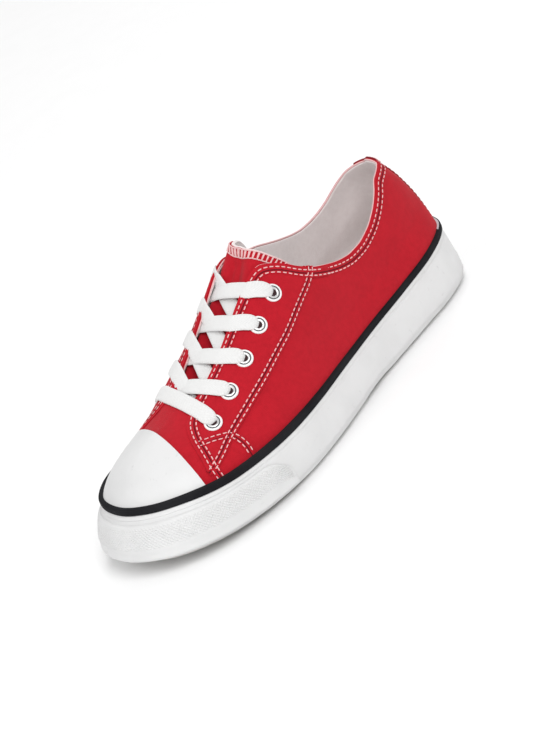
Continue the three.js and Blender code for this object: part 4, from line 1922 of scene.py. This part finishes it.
    def build_bumper(self, finish: Finish) -> None:
        """Toe bumper with fine diamond relief above a smooth band.

        Args:
            finish: Its material.
        """
        thick, low, high = self.bumper
        base = self.last.rim(np.linspace(0, 0.5, 2001))[:, 0]
        first = np.interp(self.bumper_start, base, np.linspace(0, 0.5, 2001))
        share = np.linspace(first, 1 - first, 360)
        total = run_along(self.last.rim(share))
        run = np.linspace(0, total[-1], self.bumper_columns)
        share = np.interp(run, total, share)
        levels = np.concatenate(([low, low + 0.004], np.linspace(low + 0.02, high - 0.02, 38),
                                 [high - 0.004, high]))
        height = (levels - low) / (high - low)
        from_end = np.minimum(run, total[-1] - run)[None, :]
        rounded = np.clip(1 - from_end / 16, 0, 1)
        top = low + (high - low) * (1 - 0.55 * rounded ** 2.2)
        level = low + (top - low) * height[:, None]
        pitch, tall, deep = self.relief
        rise = height[:, None] * tall
        ridge = (np.abs(((run[None, :] + rise) / pitch) % 1 - 0.5)
                 + np.abs(((run[None, :] - rise) / pitch) % 1 - 0.5))
        relief = deep * (ridge - 0.5) * smoothstep(height[:, None], 0.36, 0.40)
        relief = relief * (1 - smoothstep(height[:, None], 0.93, 0.96)) * smoothstep(
            from_end, 1.5, 2.5)
        edge = np.ones(len(levels))
        for place, share_out in enumerate((0.12, 0.62, 0.95)):
            edge[[place, -1 - place]] = share_out
        end = np.clip(from_end / 1.2, 0, 1) ** 0.5
        out = -self.proud + 0.02 + (thick + self.proud) * edge[:, None] * end + relief
        outer = self.wall_points(share[None, :], level, out)
        piece = Workshop.cloth("toe_bumper_band", outer, flip=True)
        Workshop.thicken(piece, 0.9, 0.0, -1.0, 30)
        Workshop.hand_in(piece, finish, "bumper_rubber", "toe_bumper")

    def toe_cap(self, finish: Finish) -> None:
        """Smooth rubber cap over the toes with a fine rim along its rear edge.

        Args:
            finish: Its material.
        """
        thick, rear, bow, skew, middle = self.cap

        def behind(points: Array) -> Array:
            """Whether points lie behind the cap's rear edge."""
            off = points[..., 1] - middle
            return points[..., 0] < rear + bow * off * off + skew * off

        shares = np.linspace(0.3, 0.7, 4001)
        inside = ~behind(self.last.point(shares, 0.35, 0.0))
        first, last_one = shares[inside][0], shares[inside][-1]
        bend = np.linspace(-1, 1, 240)
        share = (first + last_one) / 2 + (last_one - first) / 2 * np.sin(bend * QUARTER)
        rises = np.linspace(0.35, QUARTER, 400)
        hidden = behind(self.last.point(share[:, None], rises[None, :], thick))
        limit = np.where(hidden.any(1), rises[np.argmax(hidden, 1)], QUARTER)
        low = 0.30
        for halving in range(14):
            step = 0.5 ** halving * (rises[1] - rises[0])
            cut = behind(self.last.point(share, limit, thick)) & (limit < QUARTER)
            limit = np.where(cut, limit - step, limit + step * (limit < QUARTER))
            limit = np.minimum(limit, QUARTER)
        level = np.linspace(0, 1, 60)[:, None]
        rise = low + (limit - low) * level
        points = self.last.point(share[None, :], rise, thick)
        shut = limit > QUARTER - 1e-6
        middle_line = (points[-1] + points[-1][::-1]) / 2
        points[-1] = np.where((shut & shut[::-1])[:, None], middle_line, points[-1])
        piece = Workshop.cloth("toe_cap_shell", points, flip=True)
        Workshop.weld(piece, 0.02)
        Workshop.thicken(piece, thick - 0.1, 0.45, -1.0, 45)
        Workshop.hand_in(piece, finish, "cap_rubber", "toe_cap")

    def build_footbed(self, finish: Finish) -> None:
        """Cloth-covered footbed with a soft rounded edge.

        Args:
            finish: Its material.
        """
        thick, inset = self.footbed
        share = np.linspace(0, 1, 241)
        rings = [self.inner_ring(-inset - inward, height)(share) for inward, height in (
            (0, 0.3), (0, thick - 1.2), (0.3, thick - 0.5), (1.0, thick), (5, thick - 0.1),
            (12, thick - 0.3))]
        inner = rings[-1]
        middle = np.stack((inner[:, 0] * 0.86 + 135 * 0.14, np.zeros(len(inner)),
                           np.zeros(len(inner))), -1)
        middle[:, 2] = self.last.rest_at(middle[:, 0]) + thick - 0.4
        for step in (0.3, 0.6, 0.85, 1.0):
            rings.append(inner + (middle - inner) * np.array((step, step, 0.0)))
            rings[-1][:, 2] = self.last.rest_at(rings[-1][:, 0]) + thick - 0.3
        points = np.array(rings)
        points[:, -1] = points[:, 0]
        piece = Workshop.cloth("footbed", points, flip=True)
        Workshop.weld(piece, 0.002)
        Workshop.edit(piece, Workshop.close_ends)
        Workshop.shade(piece, 50)
        Workshop.hand_in(piece, finish, "lining_cloth", "insole")

    def build(self) -> None:
        """Makes every rubber part and the footbed."""
        m = self.palette
        self.foxing(m["foxing"])
        self.stripe(m["stripe"], m["ledge"])
        self.build_bumper(m["bumper"])
        self.toe_cap(m["cap"])
        self.build_footbed(m["footbed"])
        tread = frame["nodes"]["outsole"]
        for slot in tread.material_slots:
            slot.material = m["tread"]


# ---- eyelets and laces


@dataclass
class Eyelets:
    """Two rows of five enamelled eyelets, numbered from the toe."""

    last: Last
    palette: dict
    rows: int = 5
    first: float = 137.3
    pitch: float = 17.4
    heights: Table = ((137.3, 75.8), (154.9, 68.3), (171.8, 60.5), (189, 53.2), (207, 46.7))
    base: float = 0.62
    skew: tuple[float, float] = (9.0, 1.6)
    steel_to: float = 3.1
    groove_to: float = 3.57
    section: Table = (
        (1.9, -0.45), (1.9, 0.5), (2.1, 0.8), (2.6, 0.92), (3.05, 0.78), (3.2, 0.45),
        (3.5, 0.42), (3.65, 0.7), (4.1, 0.78), (4.5, 0.6), (4.7, 0.3), (4.7, 0.0),
        (1.9, -0.45),
    )

    def x_of(self, row: int) -> float:
        """How far from the heel a row is."""
        return self.first + (self.rows - row) * self.pitch

    def place(self, row: int, side: Side) -> tuple[float, float]:
        """Share and rise of one eyelet.

        Args:
            row: Row, 1 at the toe.
            side: Side of the foot.

        Returns:
            The share and the rise.
        """
        x = self.x_of(row)
        z = Profile(*np.transpose(self.heights))(x)
        share, rise = self.last.beside(x, z, Side.LATERAL)
        if side is Side.MEDIAL:
            point = self.last.point(share, rise)
            off = point[1] - self.last.lean_at(point[0])
            back = self.skew[0] + self.skew[1] * (self.rows - row)
            share, rise = self.last.above(x - back, -off)
        return float(share), float(rise)

    def one(self, name: str) -> Piece:
        """Eyelet about its own origin: a circle drawn out through its section.

        Args:
            name: Name of the piece.

        Returns:
            The eyelet, in millimetres.
        """
        Workshop.deselect()
        radius, height = self.section[0]
        bpy.ops.mesh.primitive_circle_add(vertices=36, radius=radius, location=(0, 0, height))
        piece = bpy.context.object
        piece.name = piece.data.name = name
        bpy.ops.object.transform_apply(location=True, rotation=True, scale=True)
        bpy.ops.object.mode_set(mode="EDIT")
        bpy.ops.mesh.select_all(action="SELECT")
        for (r0, z0), (r1, z1) in zip(self.section, self.section[1:]):
            bpy.ops.mesh.extrude_edges_move(TRANSFORM_OT_translate={"value": (0, 0, z1 - z0)})
            bpy.ops.transform.resize(value=(r1 / r0, r1 / r0, 1))
        bpy.ops.mesh.select_all(action="SELECT")
        bpy.ops.mesh.remove_doubles(threshold=0.001)
        bpy.ops.mesh.normals_make_consistent(inside=False)
        bpy.ops.object.mode_set(mode="OBJECT")
        return piece

    def build(self) -> None:
        """Makes the ten eyelets, each with a dark disc of painted shade in its hole."""
        m = self.palette
        for side in Side:
            for row in range(1, self.rows + 1):
                name = f"{side.name.lower()}_{row}"
                place = self.place(row, side)
                point, normal, along, _ = self.last.frames(*(np.array(v) for v in place))
                along = unit(along)
                across = np.cross(normal, along)
                axes = np.array([along, across, normal])
                piece = self.one(f"eyelet_ring_{name}")
                self.settle(piece, point + normal * self.base, axes)
                Workshop.hand_in(piece, m["enamel"], "eyelet_metal", f"eyelet_{name}")
                for finish in (m["groove"], m["steel"]):
                    piece.data.materials.append(finish)
                for polygon in piece.data.polygons:
                    centre = np.array(polygon.center) / MM + HEEL_TO_CENTRE - point
                    out = centre - normal * (centre @ normal)
                    radius = float(np.linalg.norm(out))
                    polygon.material_index = int(radius <= self.groove_to) + int(radius <= self.steel_to)
                Workshop.shade(piece, 50)
                # Painted shade: a near-black disc just inside the ring stands for the shadow in the hole.
                self.well(name, point + normal * (self.base + 0.05), axes)

    def settle(self, piece: Piece, point: Array, axes: Array) -> None:
        """Moves a piece's mesh from its own origin to its place on the shoe.

        Args:
            piece: The piece.
            point: Where it goes.
            axes: Its three axes as rows.
        """
        turn = np.eye(4)
        turn[:3, :3] = axes.T * MM
        turn[:3, 3] = Workshop.place(point)
        piece.data.transform(Matrix(turn.tolist()))
        piece.data.update()

    def well(self, name: str, point: Array, axes: Array) -> None:
        """Dark disc at the bottom of an eyelet's hole, painted shade for the shadowed tongue below.

        Args:
            name: Which eyelet.
            point: Where it goes.
            axes: Its three axes as rows.
        """
        Workshop.deselect()
        bpy.ops.mesh.primitive_cylinder_add(vertices=24, radius=1.95, depth=0.3)
        piece = bpy.context.object
        piece.name = piece.data.name = f"eyelet_well_{name}"
        self.settle(piece, point, axes)
        Workshop.hand_in(piece, self.palette["dark"], "eyelet_metal")


@dataclass
class Laces:
    """Flat cotton laces: a bar at the toe and four crossings above it."""

    last: Last
    top: TopLine
    eyelets: Eyelets
    palette: dict
    width: float = 8.6
    thick: float = 1.3
    over: float = 1.5
    arch: tuple[float, float, float] = (-0.3, 1.3, 1.0)
    ahead: tuple[float, float] = (2.0, 1.2)
    bar_arch: float = 2.3
    bar_ends: float = 6.5
    behind_edge: Table = ((6.0, -2.7), (1.0, -2.4))
    before_edge: tuple[float, float] = (0.8, 1.35)
    dive: Table = (
        (4.6, 1.65, 1.0), (3.0, 1.8, 0.98), (1.7, 1.7, 0.88), (0.7, 1.1, 0.68),
        (0.2, 0.1, 0.45), (0.0, -1.2, 0.36),
    )

    def stop(self, x: float, off: float, height: float, width: float) -> tuple:
        """One place that a lace passes: its point, its normal and its width.

        Args:
            x: Distance from the heel.
            off: Distance off the crest.
            height: Height over the last.
            width: Width of the lace there.

        Returns:
            The stop.
        """
        share, rise = self.last.above(np.array(x), np.array(off))
        point, normal, _, _ = self.last.frames(share, rise)
        return point + normal * height, normal, width

    def hole(self, row: int, side: Side) -> tuple[float, float]:
        """Distance from the heel and off the crest of one eyelet."""
        point = self.last.point(*self.eyelets.place(row, side))
        return float(point[0]), float(point[1] - self.last.lean_at(point[0]))

    def into_hole(self, row: int, side: Side, lean: float, room: float) -> list:
        """The last stops of a lace that goes down into an eyelet.

        Args:
            row: Row of the eyelet.
            side: Side of the eyelet.
            lean: How far forward the lace comes from, for each step from the eyelet.
            room: Steps from the eyelet at which the stops begin.

        Returns:
            The stops.
        """
        x, off = self.hole(row, side)
        return [
            self.stop(x + lean * before, off - side.value * before, height, self.width * share)
            for before, height, share in self.dive
            if before < room
        ]

    def bridge(self, start: tuple, end: tuple, arch: float) -> list:
        """Stops along a straight stretch of lace that rises by an arch in its middle.

        Args:
            start: Stop before the stretch.
            end: Stop after it.
            arch: Rise in the middle.

        Returns:
            The stops.
        """
        found = []
        for share in np.linspace(0, 1, 7):
            normal = unit(start[1] * (1 - share) + end[1] * share)
            point = start[0] * (1 - share) + end[0] * share
            found.append((point + normal * (arch * math.sin(math.pi * share)), normal, self.width))
        return found

    def strap(self, name: str, stops: list) -> Piece:
        """Braid through the stops.

        Args:
            name: Name of the piece.
            stops: The stops.

        Returns:
            The braid.
        """
        points, normals, widths = (np.array(part) for part in zip(*stops))
        run = run_along(points)
        at = np.linspace(0, run[-1], max(int(run[-1] / 0.55), 20))
        centre = np.stack([Profile(run, points[:, i])(at) for i in range(3)], -1)
        normal = unit(np.stack([np.interp(at, run, normals[:, i]) for i in range(3)], -1))
        width = np.interp(at, run, widths)
        tangent = unit(np.gradient(centre, axis=0))
        across = np.cross(tangent, normal)
        across = unit(across - tangent * np.sum(across * tangent, -1, keepdims=True))
        up = unit(np.cross(across, tangent))
        thick = self.thick * (1 + 0.5 * (1 - width / self.width))
        return Workshop.ribbon(name, centre, across, up, width, thick)

    def crossing(self, row: int, side: Side, on_top: bool) -> Piece:
        """One strap of a crossing, to the eyelet on a side.

        Args:
            row: Row of the eyelet that it goes into.
            side: Side of that eyelet.
            on_top: Whether it passes over the other strap.

        Returns:
            The strap.
        """
        away = Side.MEDIAL if side is Side.LATERAL else Side.LATERAL
        x0, _ = self.hole(row - 1, away)
        x1, off = self.hole(row, side)
        s = side.value
        half = float(self.top.half_at(x1, 20.0 * s))
        (deep, deep_height), (under, under_height) = self.behind_edge
        far, near = -(half + deep), half + self.before_edge[0]
        lean = (x0 - x1) / (abs(off) - far)
        ahead = self.ahead[0] + self.ahead[1] * (row - 2)
        hidden, start, end = (
            self.stop(x1 + lean * (abs(off) - place) + (ahead if s * place > 0 else 0.0),
                      s * place, height, self.width)
            for place, height in ((far, deep_height), (-half - under, under_height),
                                  (near, self.before_edge[1])))
        room = abs(off) - near
        into = lean + (ahead / room if side is Side.LATERAL else 0.0)
        arch = self.arch[on_top] + (self.arch[2] if row == self.eyelets.rows else 0.0)
        stops = [hidden, *self.bridge(start, end, arch),
                 *self.into_hole(row, side, into, room - 1.2)]
        which = "over" if on_top else "under"
        return self.strap(f"lace_{row}_{which}", stops)

    def build(self) -> None:
        """Makes the bar and the crossings."""
        cotton = self.palette["lace"]
        (x0, off), (x1, _) = self.hole(1, Side.LATERAL), self.hole(1, Side.MEDIAL)
        lean, edge = (x1 - x0) / (2 * off), off - self.bar_ends
        ends = [self.stop(x + tilt * self.bar_ends, s * edge, self.over, self.width)
                for x, tilt, s in ((x1, -lean, -1), (x0, lean, 1))]
        stops = [*self.into_hole(1, Side.MEDIAL, -lean, 5.0)[::-1], *self.bridge(*ends, self.bar_arch),
                 *self.into_hole(1, Side.LATERAL, lean, 5.0)]
        Workshop.hand_in(self.strap("lace_1_bar", stops), cotton, "lace_cotton", "lace_bar")
        for row in range(2, self.eyelets.rows + 1):
            over = self.crossing(row, Side.LATERAL, True)
            Workshop.hand_in(over, cotton, "lace_cotton", f"lace_cross_{row}")
            under = self.crossing(row, Side.MEDIAL, False)
            Workshop.hand_in(under, cotton, "lace_cotton")


# ---- everything together


def main() -> None:
    """Sets up the studio and builds the shoe piece by piece."""
    logging.basicConfig(level=logging.INFO, format="%(message)s")
    studio = Studio()
    studio.camera()
    studio.light()
    finishes = Palette()
    made = {name: getattr(finishes, name).make() for name in finishes.__dataclass_fields__}
    studio.floor(made["floor"])
    last = Last()
    top = TopLine(last)
    Upper(last, top, made).build()
    Tongue(last, made).build()
    Sole(last, made).build()
    eyelets = Eyelets(last, made)
    eyelets.build()
    Laces(last, top, eyelets, made).build()


if __name__ == "__main__":
    main()
